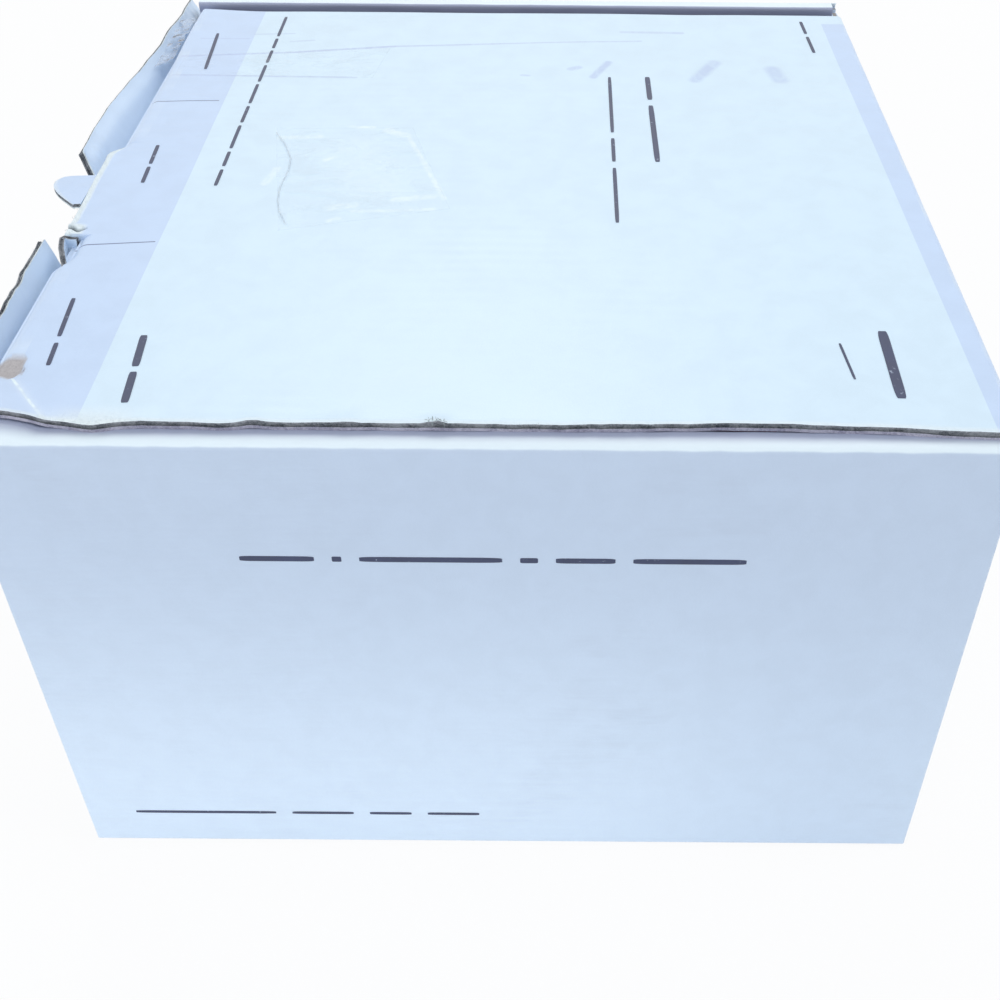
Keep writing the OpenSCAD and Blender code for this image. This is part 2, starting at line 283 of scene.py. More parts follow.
def make_washboard():
    """Faint ridges that the flutes press through a liner."""
    w, given, out = start_group(
        "flute_washboard", "ShaderNodeTree",
        {"Vector": "NodeSocketVector", "Across": (1.0, 0.0, 0.0), "Pitch": FLUTE_PITCH * MM}, ("Height",),
    )
    along = w.vector("DOT_PRODUCT", given["Vector"], given["Across"])
    wander = w.times(w.noise(given["Vector"], 30.0, 1.0), 0.004)
    turns = w.math("DIVIDE", w.plus(along, wander), given["Pitch"])
    wave = w.math("SINE", w.times(turns, 2 * math.pi))
    patch = w.spread(w.noise(given["Vector"], 18.0, 2.0), 0.4, 0.7)
    w.feed(out["Height"], w.times(wave, patch))
    return w.tree


def make_handling():
    """Grey marks left by hands, shelves and other cartons."""
    w, given, out = start_group(
        "handling_marks", "ShaderNodeTree", {"Vector": "NodeSocketVector", "Scale": 22.0, "Cover": 0.35}, ("Mask",),
    )
    patch = w.noise(given["Vector"], given["Scale"], 4.0, 0.62, 0.8)
    streak = w.noise(w.vector("MULTIPLY", given["Vector"], (1.0, 0.12, 1.0)), 420.0, 3.0, 0.65, 0.4)
    high = w.math("SUBTRACT", 0.86, given["Cover"])
    mask = w.spread(patch, high, w.plus(high, 0.22))
    w.feed(out["Mask"], w.times(mask, w.spread(streak, 0.35, 0.75)))
    return w.tree


def make_board_core():
    """Mask of the wavy middle of a board whose outer liner is the plane at Face along Direction."""
    w, given, out = start_group(
        "board_core", "ShaderNodeTree",
        {"Vector": "NodeSocketVector", "Direction": (1.0, 0.0, 0.0), "Face": 0.0, "Board": BOARD_T * MM,
         "Liner": LINER_T * MM, "Low": -1.0, "High": 1.0},
        ("Mask",),
    )
    depth = w.math("SUBTRACT", given["Face"], w.vector("DOT_PRODUCT", given["Vector"], given["Direction"]))
    z = w.node("ShaderNodeSeparateXYZ", Vector=given["Vector"]).outputs["Z"]
    inside = w.math("GREATER_THAN", depth, w.times(given["Liner"], 0.9))
    inner = w.math("SUBTRACT", given["Board"], w.times(given["Liner"], 0.9))
    inside = w.times(inside, w.math("LESS_THAN", depth, inner))
    inside = w.times(inside, w.math("GREATER_THAN", z, given["Low"]))
    w.feed(out["Mask"], w.times(inside, w.math("LESS_THAN", z, given["High"])))
    return w.tree


def make_stroke():
    """Mask of a straight soft-ended stroke from Start to End on a plane."""
    w, given, out = start_group(
        "stroke", "ShaderNodeTree",
        {"Vector": "NodeSocketVector", "Start": (0.0, 0.0, 0.0), "End": (0.0, 1.0, 0.0), "Half Width": 0.0002,
         "Softness": 0.0001},
        ("Mask",),
    )
    run = w.vector("SUBTRACT", given["End"], given["Start"])
    here = w.vector("SUBTRACT", given["Vector"], given["Start"])
    t = w.math("DIVIDE", w.vector("DOT_PRODUCT", here, run), w.vector("DOT_PRODUCT", run, run))
    t = w.math("MINIMUM", w.most(t, 0.0), 1.0)
    near = w.vector("SCALE", run, scale=t)
    off = w.vector("DISTANCE", here, near)
    far = w.plus(given["Half Width"], given["Softness"])
    w.feed(out["Mask"], w.spread(off, given["Half Width"], far, 1.0, 0.0))
    return w.tree


paper_grain = make_paper_grain()
flute_washboard = make_washboard()
handling_marks = make_handling()
board_core = make_board_core()
stroke = make_stroke()


# Materials


def start_material(name):
    material = bpy.data.materials.new(name)
    material.use_nodes = True
    material.node_tree.nodes.clear()
    w = Wiring(material.node_tree)
    place = w.node("ShaderNodeTexCoord").outputs["Object"]
    shader = w.node("ShaderNodeBsdfPrincipled")
    w.feed(w.node("ShaderNodeOutputMaterial").inputs["Surface"], shader.outputs[0])
    return material, w, place, shader


def tone(w, colour, grain, amount):
    """The colour made a little lighter and darker by the grain."""
    gain = w.plus(1.0, w.times(grain, amount))
    return w.vector("SCALE", colour if isinstance(colour, bpy.types.NodeSocket) else colour[:3], scale=gain)


def surface(w, shader, paint, gloss, height, depth, strength=1.0, normal=None):
    """Wires colour, roughness and bump into the shader."""
    w.feed(shader.inputs["Base Color"], paint)
    w.feed(shader.inputs["Roughness"], gloss)
    made = w.node("ShaderNodeBump", Strength=strength, Distance=depth, Height=height)
    w.feed(made.inputs["Normal"], normal)
    w.feed(shader.inputs["Normal"], made.outputs[0])


def liner_finish(name, colour, across, core=None, worn=0.5, rough=0.42, crest=None, inside=None):
    """White-lined board. across is the direction over the flutes, and core says where the raw middle shows. On a
    side wall, crest is the height from which its rolled edge gets a painted highlight, inside is (X, X, strength,
    strength) of the painted shade towards the roll's inside, and the wall is painted paler towards its foot and front
    end."""
    material, w, place, shader = start_material(name)
    grain = w.group(paper_grain, Vector=place)
    marks = w.group(handling_marks, Vector=place)["Mask"]
    ridges = w.group(flute_washboard, Vector=place, Across=across)["Height"]
    edge = w.node("ShaderNodeBevel", {"samples": 4}, Radius=0.0006).outputs[0]
    flat = w.node("ShaderNodeNewGeometry").outputs["Normal"]
    rub = w.spread(w.vector("DOT_PRODUCT", edge, flat), 0.93, 0.78)
    rub = w.times(rub, w.spread(w.noise(place, 500.0, 3.0), 0.42, 0.62, 0.0, worn))
    paint = tone(w, colour, grain["Tone"], 0.03)
    if crest is not None:
        # Painted light: the side wall is paler towards its foot and its front end, and darker towards its top
        parts = w.node("ShaderNodeSeparateXYZ", Vector=place).outputs
        foot = w.blend(w.spread(parts["Y"], 0.0, 0.075), (1.23, 1.22, 1.16, 1.0), (1.07, 1.075, 1.05, 1.0))
        painted_light_gradient = w.blend(w.spread(parts["Z"], 0.004, 0.096), foot, (0.9, 0.9, 0.9, 1.0))
        paint = w.vector("MULTIPLY", paint, painted_light_gradient)
        # Painted highlight along the rolled top, from the crest up
        height = w.plus(parts["Z"], w.times(w.noise(place, 160.0, 3.0), 0.0004))
        paint = w.blend(w.spread(height, (crest - 0.1) * MM, (crest + 0.35) * MM), paint, ROLL_PAINTED_HIGHLIGHT)
        # Painted shade from the roll's inside edge: the lid's shadow on the right roll, the dark gap beside the lid
        # inside the left one
        paint = w.blend(w.spread(parts["X"], *inside), paint, ROLL_PAINTED_SHADE)
    paint = w.blend(w.times(marks, 0.10), paint, srgb(150, 152, 165))
    paint = w.blend(rub, paint, TORN_WHITE)
    gloss = w.plus(rough, w.times(grain["Tone"], 0.08), w.times(rub, 0.3))
    height = w.plus(w.times(grain["Height"], 0.35), w.times(ridges, 0.5))
    if core is not None:
        mask = w.group(board_core, Vector=place, **core)["Mask"]
        fibre = w.noise(place, 1500.0, 4.0, 0.7, 1.0)
        paint = w.blend(mask, paint, w.blend(fibre, CORE_GREY, CORE_PALE))
        gloss = w.most(gloss, w.times(mask, 0.9))
        height = w.plus(height, w.times(fibre, mask, 0.8))
    surface(w, shader, paint, gloss, height, 0.00012)
    return material


# Marks on the lid, each (start, end, width, strength) in millimetres from the lid's middle
RULES = (((-29.6, -81.4), (-30.4, -66.3)), ((34.9, -81.8), (33.3, -65.4)))
SMEARS = (
    ((-45.5, 18.8), (-54.2, 22.6), 1.3, 0.75), ((-44.4, 42.8), (-54.8, 48.2), 2.1, 0.7),
    ((-44.8, 62.8), (-51.0, 61.6), 2.6, 0.6), ((-50.0, 13.6), (-51.0, 15.4), 1.3, 0.6),
    ((-46.2, 2.0), (-46.0, 3.6), 0.7, 0.5),
)
TAPE_TRACES = (
    ((-55.9, -80.0), (-59.0, -52.9), 0.6, 0.7), ((-59.0, -52.9), (-63.2, -29.6), 0.7, 0.8),
    ((-63.2, -29.6), (-65.3, -3.9), 0.6, 0.6), ((-65.3, -3.9), (-67.9, 31.0), 0.5, 0.5),
    ((-44.6, -80.0), (-44.1, -37.0), 0.6, 0.6), ((-73.7, 26.5), (-73.4, 41.5), 0.9, 0.5),
    ((-67.2, -78.0), (-67.4, -66.4), 0.5, 0.4), ((-70.2, -65.2), (-70.9, -55.6), 0.5, 0.4),
    ((-65.6, -55.6), (-66.5, -50.1), 0.6, 0.4),
)
# Milky tape film and painted highlights along the tape's edges, and a white line along the dog-ear crease
MILKY_AND_HIGHLIGHT_MARKS = (
    ((-17.5, -34.6), (-17.2, -29.8), 0.9, 0.9), ((-15.9, -26.4), (-13.7, -22.4), 1.5, 0.95),
    ((-13.7, -21.9), (-0.6, -17.3), 0.7, 0.9), ((-0.6, -17.3), (15.4, -12.0), 0.8, 0.8),
    ((20.7, -29.5), (19.7, -13.7), 0.8, 0.6), ((-1.4, -37.9), (-3.0, -35.9), 1.1, 0.9),
    ((-11.6, -49.0), (-12.5, -40.7), 1.2, 0.7), ((19.4, -34.4), (18.0, -29.7), 1.5, 0.7),
    ((24.6, -33.7), (23.6, -32.1), 0.9, 0.7), ((15.8, -21.9), (14.2, -14.0), 1.4, 0.7),
    ((9.4, -48.8), (2.7, -47.4), 1.2, 0.6), ((-6.0, -33.0), (10.0, -26.0), 9.0, 0.25),
    ((78.3, -77.5), (88.9, -69.3), 0.36, 1.0),
)


def stroke_mask(w, flat, start, end, half, softness):
    ends = {label: (point[0] * MM, point[1] * MM, 0.0) for label, point in (("Start", start), ("End", end))}
    return w.group(stroke, Vector=flat, **ends, Half_Width=half, Softness=softness)["Mask"]


def strokes(w, flat, rows):
    """Strength of the strongest of several soft strokes."""
    return w.most(*(
        w.times(stroke_mask(w, flat, start, end, width * MM * 0.3, width * MM * 0.8), strength)
        for start, end, width, strength in rows
    ))


def lid_finish():
    """The printed top liner: pale field, lilac bands along both folds, two thin rules, wear and smears."""
    material, w, place, shader = start_material("lid_liner")
    place = w.vector("SUBTRACT", place, (LID_MIDDLE * MM, 0.0, 0.0))
    flat = w.vector("MULTIPLY", place, (1.0, 1.0, 0.0))
    grain = w.group(paper_grain, Vector=place)
    ridges = w.group(flute_washboard, Vector=place)["Height"]
    marks = w.group(handling_marks, Vector=place, Cover=0.3)["Mask"]
    parts = w.node("ShaderNodeSeparateXYZ", Vector=place).outputs
    front = w.math("SUBTRACT", parts["Y"], w.times(parts["X"], 0.006))
    front = w.spread(front, -0.0649, -0.0647, 1.0, 0.0)
    back = w.math("SUBTRACT", parts["Y"], w.times(parts["X"], 0.0125))
    back = w.times(w.spread(back, 0.0786, 0.0788), w.spread(parts["X"], -0.0806, -0.0798))
    over = w.spread(parts["Z"], 0.1066, 0.1072, 1.0, 0.0)
    band = w.most(front, back, over)
    rule = w.most(*(stroke_mask(w, flat, start, end, 0.00012, 0.0001) for start, end in RULES))
    cloud = w.spread(w.noise(w.vector("MULTIPLY", place, (0.6, 1.4, 1.0)), 300.0, 3.0, 0.6, 0.8), 0.3, 0.6, 0.6, 1.0)
    smear = w.times(strokes(w, flat, SMEARS), cloud)
    trace = w.times(strokes(w, flat, TAPE_TRACES), cloud)
    curd = w.spread(w.noise(place, 420.0, 3.0, 0.6, 0.9), 0.35, 0.6, 0.3, 1.0)
    # Milky tape film, partly painted highlights along the tape's edges
    milk_and_highlight = w.times(strokes(w, flat, MILKY_AND_HIGHLIGHT_MARKS), curd)
    # dark is painted shade: in the slit, under the torn spot's edge and along the ledge's front edge
    worn, torn, dark = (w.attribute(name) for name in ("worn", "torn", "dark"))
    fibre = w.noise(place, 1100.0, 4.0, 0.7, 1.5)
    worn = w.times(worn, w.spread(fibre, 0.25, 0.55, 0.75, 1.0))
    paint = tone(w, w.blend(band, PRINT_WHITE, LILAC), grain["Tone"], 0.035)
    for mask, colour in (
        (w.times(rule, 0.9), RULE_INK), (smear, SMEAR), (trace, TAPE_TRACE), (milk_and_highlight, MILK_AND_PAINTED_HIGHLIGHT),
        (w.times(marks, 0.06), GRIME), (worn, RUBBED), (torn, w.blend(fibre, TORN_LOW, TORN_HIGH)),
        (w.times(dark, 0.85), CUT_PAINTED_SHADE),
    ):
        paint = w.blend(mask, paint, colour)
    rough = w.most(worn, torn)
    gloss = w.most(w.plus(0.36, w.times(grain["Tone"], 0.08)), w.times(rough, 0.85))
    height = w.plus(w.times(grain["Height"], 0.3), w.times(ridges, 0.12), w.times(fibre, rough, 1.6))
    surface(w, shader, paint, gloss, height, 0.00015)
    return material


def raw_finish(name, dark, pale, scale=1500.0):
    """Torn or cut board: matt fibres between dark and pale."""
    material, w, place, shader = start_material(name)
    fibre = w.noise(place, scale, 5.0, 0.72, 1.2)
    patch = w.noise(place, scale * 0.16, 2.0, 0.5, 0.4)
    mix = w.spread(w.plus(w.times(fibre, 0.6), w.times(patch, 0.4)), 0.36, 0.62)
    shader.inputs["Specular IOR Level"].default_value = 0.2
    surface(w, shader, w.blend(mix, dark, pale), w.spread(fibre, 0.2, 0.8, 0.8, 0.96), fibre, 0.0003, 0.9)
    return material


def ink_finish():
    material, w, place, shader = start_material("print_ink")
    grain = w.group(paper_grain, Vector=place, Fibre_Scale=4000.0)
    worn = w.spread(w.noise(place, 700.0, 4.0, 0.7), 0.62, 0.72)
    paint = w.blend(w.times(worn, 0.5), tone(w, INK, grain["Tone"], 0.2), SIDE_WHITE)
    gloss = w.plus(0.42, w.times(grain["Tone"], 0.1))
    surface(w, shader, paint, gloss, grain["Height"], 0.00004)
    return material


def tape_finish(name, cover, haze, dirt, rim):
    """Clear tape film with milky patches where it has let go, and dirt where the attribute worn is high."""
    material, w, place, shader = start_material(name)
    wrinkle = w.noise(w.vector("MULTIPLY", place, (1.0, 0.35, 1.0)), 240.0, 4.0, 0.6, 1.4)
    loose = w.noise(w.vector("MULTIPLY", place, (1.0, 0.6, 1.0)), 130.0, 3.0, 0.55, 1.0)
    dust = w.noise(place, 900.0, 4.0, 0.7, 0.5)
    edge = w.attribute("worn")
    dirty = w.times(edge, w.spread(dust, 0.35, 0.6))
    veil = w.plus(cover * 0.4, w.times(w.spread(loose, 0.47, 0.66), cover * 3.0))
    w.feed(shader.inputs["Alpha"], w.most(veil, w.times(edge, rim)))
    shader.inputs["IOR"].default_value = 1.48
    surface(w, shader, w.blend(dirty, haze, dirt), w.spread(dust, 0.3, 0.8, 0.08, 0.3), wrinkle, 0.0004, 0.6)
    return material


def plastic_finish(name, colour):
    """Glossy moulded polycarbonate with soft edges and faint flow marks."""
    material, w, place, shader = start_material(name)
    flow = w.noise(w.vector("MULTIPLY", place, (0.25, 1.0, 1.0)), 260.0, 3.0, 0.5, 1.5)
    scuff = w.noise(place, 1800.0, 3.0, 0.7, 0.3)
    shader.inputs["IOR"].default_value = 1.58
    soft = w.node("ShaderNodeBevel", {"samples": 4}, Radius=0.0004).outputs[0]
    paint = tone(w, colour, w.math("SUBTRACT", flow, 0.5), 0.25)
    surface(w, shader, paint, w.spread(scuff, 0.4, 0.8, 0.16, 0.34), flow, 0.00006, 0.6, soft)
    return material


def lens_finish():
    """Clear bent polycarbonate sheet with a faint anti-fog bloom."""
    material, w, place, shader = start_material("clear_lens_sheet")
    bloom = w.noise(place, 90.0, 3.0, 0.5, 0.8)
    fine = w.noise(place, 1500.0, 2.0)
    shader.inputs["Transmission Weight"].default_value = 1.0
    shader.inputs["IOR"].default_value = 1.45
    paint = w.blend(bloom, srgb(236, 244, 248), srgb(246, 250, 252))
    surface(w, shader, paint, w.spread(bloom, 0.35, 0.75, 0.02, 0.07), fine, 0.00001, 0.3)
    return material


def floor_finish():
    """Pale floor that a camera, a mirror and a lens see as white, with the object's shadow kept."""
    material = bpy.data.materials.new("studio_floor")
    material.use_nodes = True
    material.node_tree.nodes.clear()
    w = Wiring(material.node_tree)
    place = w.node("ShaderNodeTexCoord").outputs["Object"]
    speck = w.noise(place, 60.0, 3.0)
    paper = w.node("ShaderNodeBsdfPrincipled", Roughness=w.spread(speck, 0.2, 0.8, 0.75, 0.85))
    w.feed(paper.inputs["Base Color"], w.blend(speck, srgb(243, 245, 248), srgb(247, 249, 251)))
    glow = w.node("ShaderNodeEmission", Color=(1.0, 1.0, 1.0, 1.0), Strength=1.0)
    mix = w.node("ShaderNodeMixShader", Fac=w.times(w.seen_directly(), 0.92))
    w.feed(mix.inputs[1], paper.outputs[0])
    w.feed(mix.inputs[2], glow.outputs[0])
    w.feed(w.node("ShaderNodeOutputMaterial").inputs["Surface"], mix.outputs[0])
    return material


RIGHT, LEFT, UP = (1.0, 0.0, 0.0), (-1.0, 0.0, 0.0), (0.0, 0.0, 1.0)
FRONT, BACK = (0.0, -1.0, 0.0), (0.0, 1.0, 0.0)

lid_liner = lid_finish()
raw_core = raw_finish("raw_board_core", srgb(86, 91, 98), srgb(166, 168, 172))
raw_pale = raw_finish("raw_board_fibres", srgb(136, 146, 148), srgb(178, 188, 188))
# Lower ply of the lid's raw edge, painted lilac-grey as the shade under the lid's edge
lower_ply_shade = raw_finish("lower_ply_painted_shade", srgb(146, 143, 164), srgb(202, 199, 212))
torn_edge = raw_finish("torn_liner_edge", srgb(196, 204, 206), srgb(238, 246, 246), 1100.0)
inner_liner = liner_finish("lid_inner_liner", srgb(214, 218, 226), RIGHT, rough=0.6)
# The lips' inner liner, painted brighter than the carton's other inside faces to stand in for light in the fold
lip_liner_painted_bright = liner_finish("lip_liner_painted_bright", srgb(222, 238, 255), RIGHT)
side_liner = liner_finish("side_liner", SIDE_WHITE, UP, worn=0.8)
# The side walls' liners carry painted light: paler towards the foot, a painted highlight on the rolled top, painted
# shade on the roll's inside
side_liner_right_painted_light = liner_finish("side_liner_right_painted_light", SIDE_WHITE, UP, worn=0.8, crest=RIGHT_TOP - 0.75,
                                inside=(0.0915, 0.0937, 0.75, 0.0))
side_liner_left_painted_light = liner_finish("side_liner_left_painted_light", SIDE_WHITE, UP, worn=0.8, crest=LEFT_TOP - 0.75,
                               inside=(-0.0900, -0.0896, 0.0, 0.8))
print_ink = ink_finish()
tape_film = tape_finish("clear_tape", 0.03, srgb(250, 254, 255), srgb(168, 184, 200), 0.5)
tape_crumple = tape_finish("crumpled_tape", 0.10, srgb(214, 226, 242), srgb(120, 110, 102), 0.7)
lens_sheet = lens_finish()


# Mesh helpers


def placed(name, data):
    """An object that holds the data, put in the scene."""
    made = bpy.data.objects.new(name, data)
    bpy.context.scene.collection.objects.link(made)
    return made


def mesh_piece(name, points, faces, materials, face_material=None):
    """A mesh object from points in millimetres, with faces turned outwards."""
    mesh = bpy.data.meshes.new(name)
    mesh.from_pydata([tuple(c * MM for c in p) for p in points], [], faces)
    for material in materials:
        mesh.materials.append(material)
    if face_material is not None:
        mesh.polygons.foreach_set("material_index", face_material)
    work = bmesh.new()
    work.from_mesh(mesh)
    bmesh.ops.recalc_face_normals(work, faces=work.faces)
    work.to_mesh(mesh)
    work.free()
    mesh.polygons.foreach_set("use_smooth", [True] * len(mesh.polygons))
    mesh.set_sharp_from_angle(angle=SHARP)
    return placed(name, mesh)


def mark(piece, name, values):
    """Keeps one number for each point of the piece, for its material to read."""
    attribute = piece.data.attributes.new(name, "FLOAT", "POINT")
    attribute.data.foreach_set("value", np.array(values, np.float32))


def two_grids(rows, cols):
    """Faces of an outer grid of points and of an inner one that follows it, by turns."""
    faces = []
    for i in range(rows - 1):
        for j in range(cols - 1):
            a = i * cols + j
            quad = (a, a + 1, a + cols + 1, a + cols)
            faces += [quad, tuple(rows * cols + k for k in reversed(quad))]
    return faces


def grid_marks(piece, marks, extra=lambda grid: []):
    """Keeps the grids of numbers for both faces of the piece, and extra ones for the points that follow."""
    for label, grid in (marks or {}).items():
        flat = list(np.array(grid, float).reshape(-1))
        mark(piece, label, flat + flat + extra(np.array(grid)))


def board_sheet(name, outer, inward, thick, raw, materials, ragged, kinds, groove, marks=None, lower_ply=LINER_T):
    """A closed sheet of board from a grid of outer points.

    inward is the direction into the board at each point, thick the board's thickness there, and raw says for
    the sides (first row, last column, last row, first column) whether the middle shows between the liners.
    materials are the outer liner's, the raw middle's, the inner liner's and the liners' edges', and kinds says
    which of them the five strips of a side take, from the outer face to the inner one. groove is how deep the
    middle lies back at a raw side, ragged how uneven that is, and lower_ply the inner liner's height there."""
    rows, cols = len(outer), len(outer[0])
    outer = np.array(outer, float)
    inward = np.array(inward, float)
    thick = np.broadcast_to(np.array(thick, float), (rows, cols))
    inner = outer + inward * thick[..., None]
    points = list(outer.reshape(-1, 3)) + list(inner.reshape(-1, 3))
    size = rows * cols
    faces = two_grids(rows, cols)
    painted = [0, 2] * (len(faces) // 2)
    loop = [(0, j, 0) for j in range(cols - 1)] + [(i, cols - 1, 1) for i in range(rows - 1)]
    loop += [(rows - 1, j, 2) for j in range(cols - 1, 0, -1)] + [(i, 0, 3) for i in range(rows - 1, 0, -1)]
    # the loop runs along columns on sides 0 and 2, and along rows on sides 1 and 3
    first = len(points)
    for i, j, side in loop:
        i2 = min(max(i, 1), rows - 2) if rows > 2 else i
        j2 = min(max(j, 1), cols - 2) if cols > 2 else j
        step = outer[i2, j2] - outer[i, j]
        length = np.linalg.norm(step) or 1.0
        sides = [s for s, hit in enumerate((i == 0, j == cols - 1, i == rows - 1, j == 0)) if hit]
        deep = groove if any(raw[s] for s in sides) else 0.02
        p, q, n = outer[i, j], inner[i, j], inward[i, j]
        rag = ragged * ripple(p[0] + p[2], p[1] - p[2], 1.3, 7.0) if deep > 0.1 else 0.0
        inset = step / length * (deep + rag)
        liner = min(LINER_T, thick[i, j] / 4)
        upper = n * liner * (1 + 0.5 * rag)
        lower = n * min(lower_ply, thick[i, j] / 2.5)
        points += [p + upper, p + upper + inset, q - lower + inset, q - lower]
    count = len(loop)
    for k in range(count):
        m = (k + 1) % count
        (i, j, side), (i2, j2, _) = loop[k], loop[m]
        here, there = first + 4 * k, first + 4 * m
        top, top2 = i * cols + j, i2 * cols + j2
        strip = [(top, top2, there, here)]
        strip += [(here + r, there + r, there + r + 1, here + r + 1) for r in range(3)]
        strip += [(here + 3, there + 3, size + top2, size + top)]
        faces += strip
        painted += kinds if raw[side] else (0, 0, 0, 2, 2)
    piece = mesh_piece(name, points, faces, materials, painted)
    grid_marks(piece, marks, lambda grid: [grid[i, j] for i, j, _ in loop for _ in range(4)])
    return piece


def skin(name, outer, inward, thick, material, marks=None):
    """A thin closed sheet, such as a liner or a film, from a grid of outer points."""
    rows, cols = len(outer), len(outer[0])
    outer = np.array(outer, float)
    inner = outer + np.array(inward, float) * thick
    points = list(outer.reshape(-1, 3)) + list(inner.reshape(-1, 3))
    size = rows * cols
    faces = two_grids(rows, cols)
    loop = list(range(cols - 1)) + [i * cols + cols - 1 for i in range(rows - 1)]
    loop += [(rows - 1) * cols + j for j in range(cols - 1, 0, -1)] + [i * cols for i in range(rows - 1, 0, -1)]
    for a, b in zip(loop, loop[1:] + loop[:1]):
        faces.append((a, b, size + b, size + a))
    piece = mesh_piece(name, points, faces, [material])
    grid_marks(piece, marks)
    return piece


def joined(name, pieces):
    """Several pieces made one object."""
    first = pieces[0]
    with bpy.context.temp_override(active_object=first, selected_editable_objects=pieces):
        bpy.ops.object.join()
    first.name = name
    return first


# Lid


def front_edge(x):
    """Y of the lid's front edge: the fold, and the ledge that stands out over the front wall."""
    out = smooth(LEDGE_LEFT - 1.5, -2.5, x) * (1 - smooth(LEDGE_RIGHT - 0.1, LEDGE_RIGHT + 0.1, x))
    bump = 0.30 * hump(x + 3.5, 1.6) + 0.10 * ripple(x, 0.0, 2.2, 3.0)
    bump -= 0.6 * smooth(4.0, 24.0, x)
    cut = smooth(LEDGE_RIGHT - 0.1, LEDGE_RIGHT + 0.1, x) * (1 - smooth(38.0, 43.0, x))
    return FOLD_Y - out * (LEDGE_OUT - 0.1 + bump) + 1.9 * cut


def past_dog_ear(x, y):
    """Distance past the crease of the bent corner, towards the corner."""
    (x0, y0), (x1, y1) = DOG_EAR
    length = math.hypot(x1 - x0, y1 - y0)
    return ((x - x0) * (y1 - y0) - (y - y0) * (x1 - x0)) / length


def ear_lift(x, y):
    """How far the bent corner stands up."""
    ear = max(0.0, past_dog_ear(x, y))
    return 2.8 * (1 - math.exp(-ear / 4.2)) * smooth(60.0, 80.0, x)


def edge_rise(x, y):
    """Humps of the upper liner along the lid's crushed right edge."""
    rise = smooth(80.0, LID_RIGHT, x) * (0.16 * ripple(0.0, y, 13.0, 2.0) + 0.12 * ripple(0.0, y, 4.6, 9.0))
    for middle, width, height, start in EDGE_HUMPS:
        rise += height * hump(y - middle, width) * smooth(start, LID_RIGHT, x)
    return rise


def edge_reach(y):
    """How far the lid's right edge stands out at one place."""
    reach = -0.1 + 1.1 * smooth(60.0, 80.0, y) + 0.15 * ripple(0.0, y, 5.0, 1.0) + 0.1 * ripple(0.0, y, 1.9, 6.0)
    for middle, width, out in EDGE_REACHES:
        reach += out * hump(y - middle, width)
    return reach


def lid_rise(x, y):
    """Height of the lid's outer face over its flat place."""
    rise = 0.22 * ripple(x, y, 46.0) + 0.08 * ripple(x, y, 17.0, 5.0)
    rise *= smooth(0, 12, y - FOLD_Y) * smooth(0, 8, HALF_D - y) * smooth(LID_RIGHT, 76.0, x)
    rise += ear_lift(x, y) + edge_rise(x, y)
    ear = past_dog_ear(x, y)
    rise += 0.16 * hump(ear, 0.7) * smooth(70.0, 80.0, x)
    rise -= 0.8 * slit(x, y) + 0.45 * torn_spot(x, y)
    rise += 0.35 * hump(x - 27.2, 0.8) * smooth(-80.2, -82.0, y)
    return rise


def slit(x, y):
    """The short cut that runs in from the ledge's edge beside its right end."""
    middle = 27.9 + 1.1 * smooth(-82.8, -81.0, y) - 1.0 * smooth(-81.0, -79.6, y)
    return hump(x - middle, 0.42) * smooth(-79.5, -80.2, y)


def torn_spot(x, y):
    """Where the liner is torn off beside the front corner."""
    reach = math.hypot((x - 74.6) / 4.0, (y + 79.7) / 3.3) + 0.22 * ripple(x, y, 2.5, 4.0)
    return 1 - smooth(0.86, 1.0, reach)


def round_off(depth, radius, most):
    """Fall of a rounded edge at a depth in from it."""
    if depth >= radius:
        return 0.0
    return min(most, radius - math.sqrt(max(0.0, radius * radius - (radius - depth) ** 2)))


def on_ledge(x):
    return smooth(LEDGE_LEFT, -4.0, x) * (1 - smooth(LEDGE_RIGHT - 0.2, LEDGE_RIGHT, x))


def fold_radius(x):
    """Radius of the lid's front fold, tight at its left end and soft to the right."""
    return 1.0 + 1.7 * smooth(-75.0, -40.0, x) * (1 - 0.6 * smooth(76.0, 86.0, x))


def fold_fall(x, y):
    """Fall of the lid's face at its front and back folds."""
    ledge = on_ledge(x)
    radius = fold_radius(x) * (1 - ledge) + 0.6 * ledge
    fall = round_off(y - front_edge(x), radius, 1.25 - 0.65 * ledge)
    return max(fall, round_off(HALF_D - y, 1.25, 1.1))


def lid_point(x, y):
    return (x, y, LID_TOP + lid_rise(x, y) - fold_fall(x, y))


def spaced(stops):
    """Lines between (place, step) stops, each step holding up to the next stop."""
    lines = []
    for (a, step), (b, _) in zip(stops, stops[1:]):
        count = max(1, round((b - a) / step))
        lines += [a + (b - a) * k / count for k in range(count)]
    return lines + [stops[-1][0]]


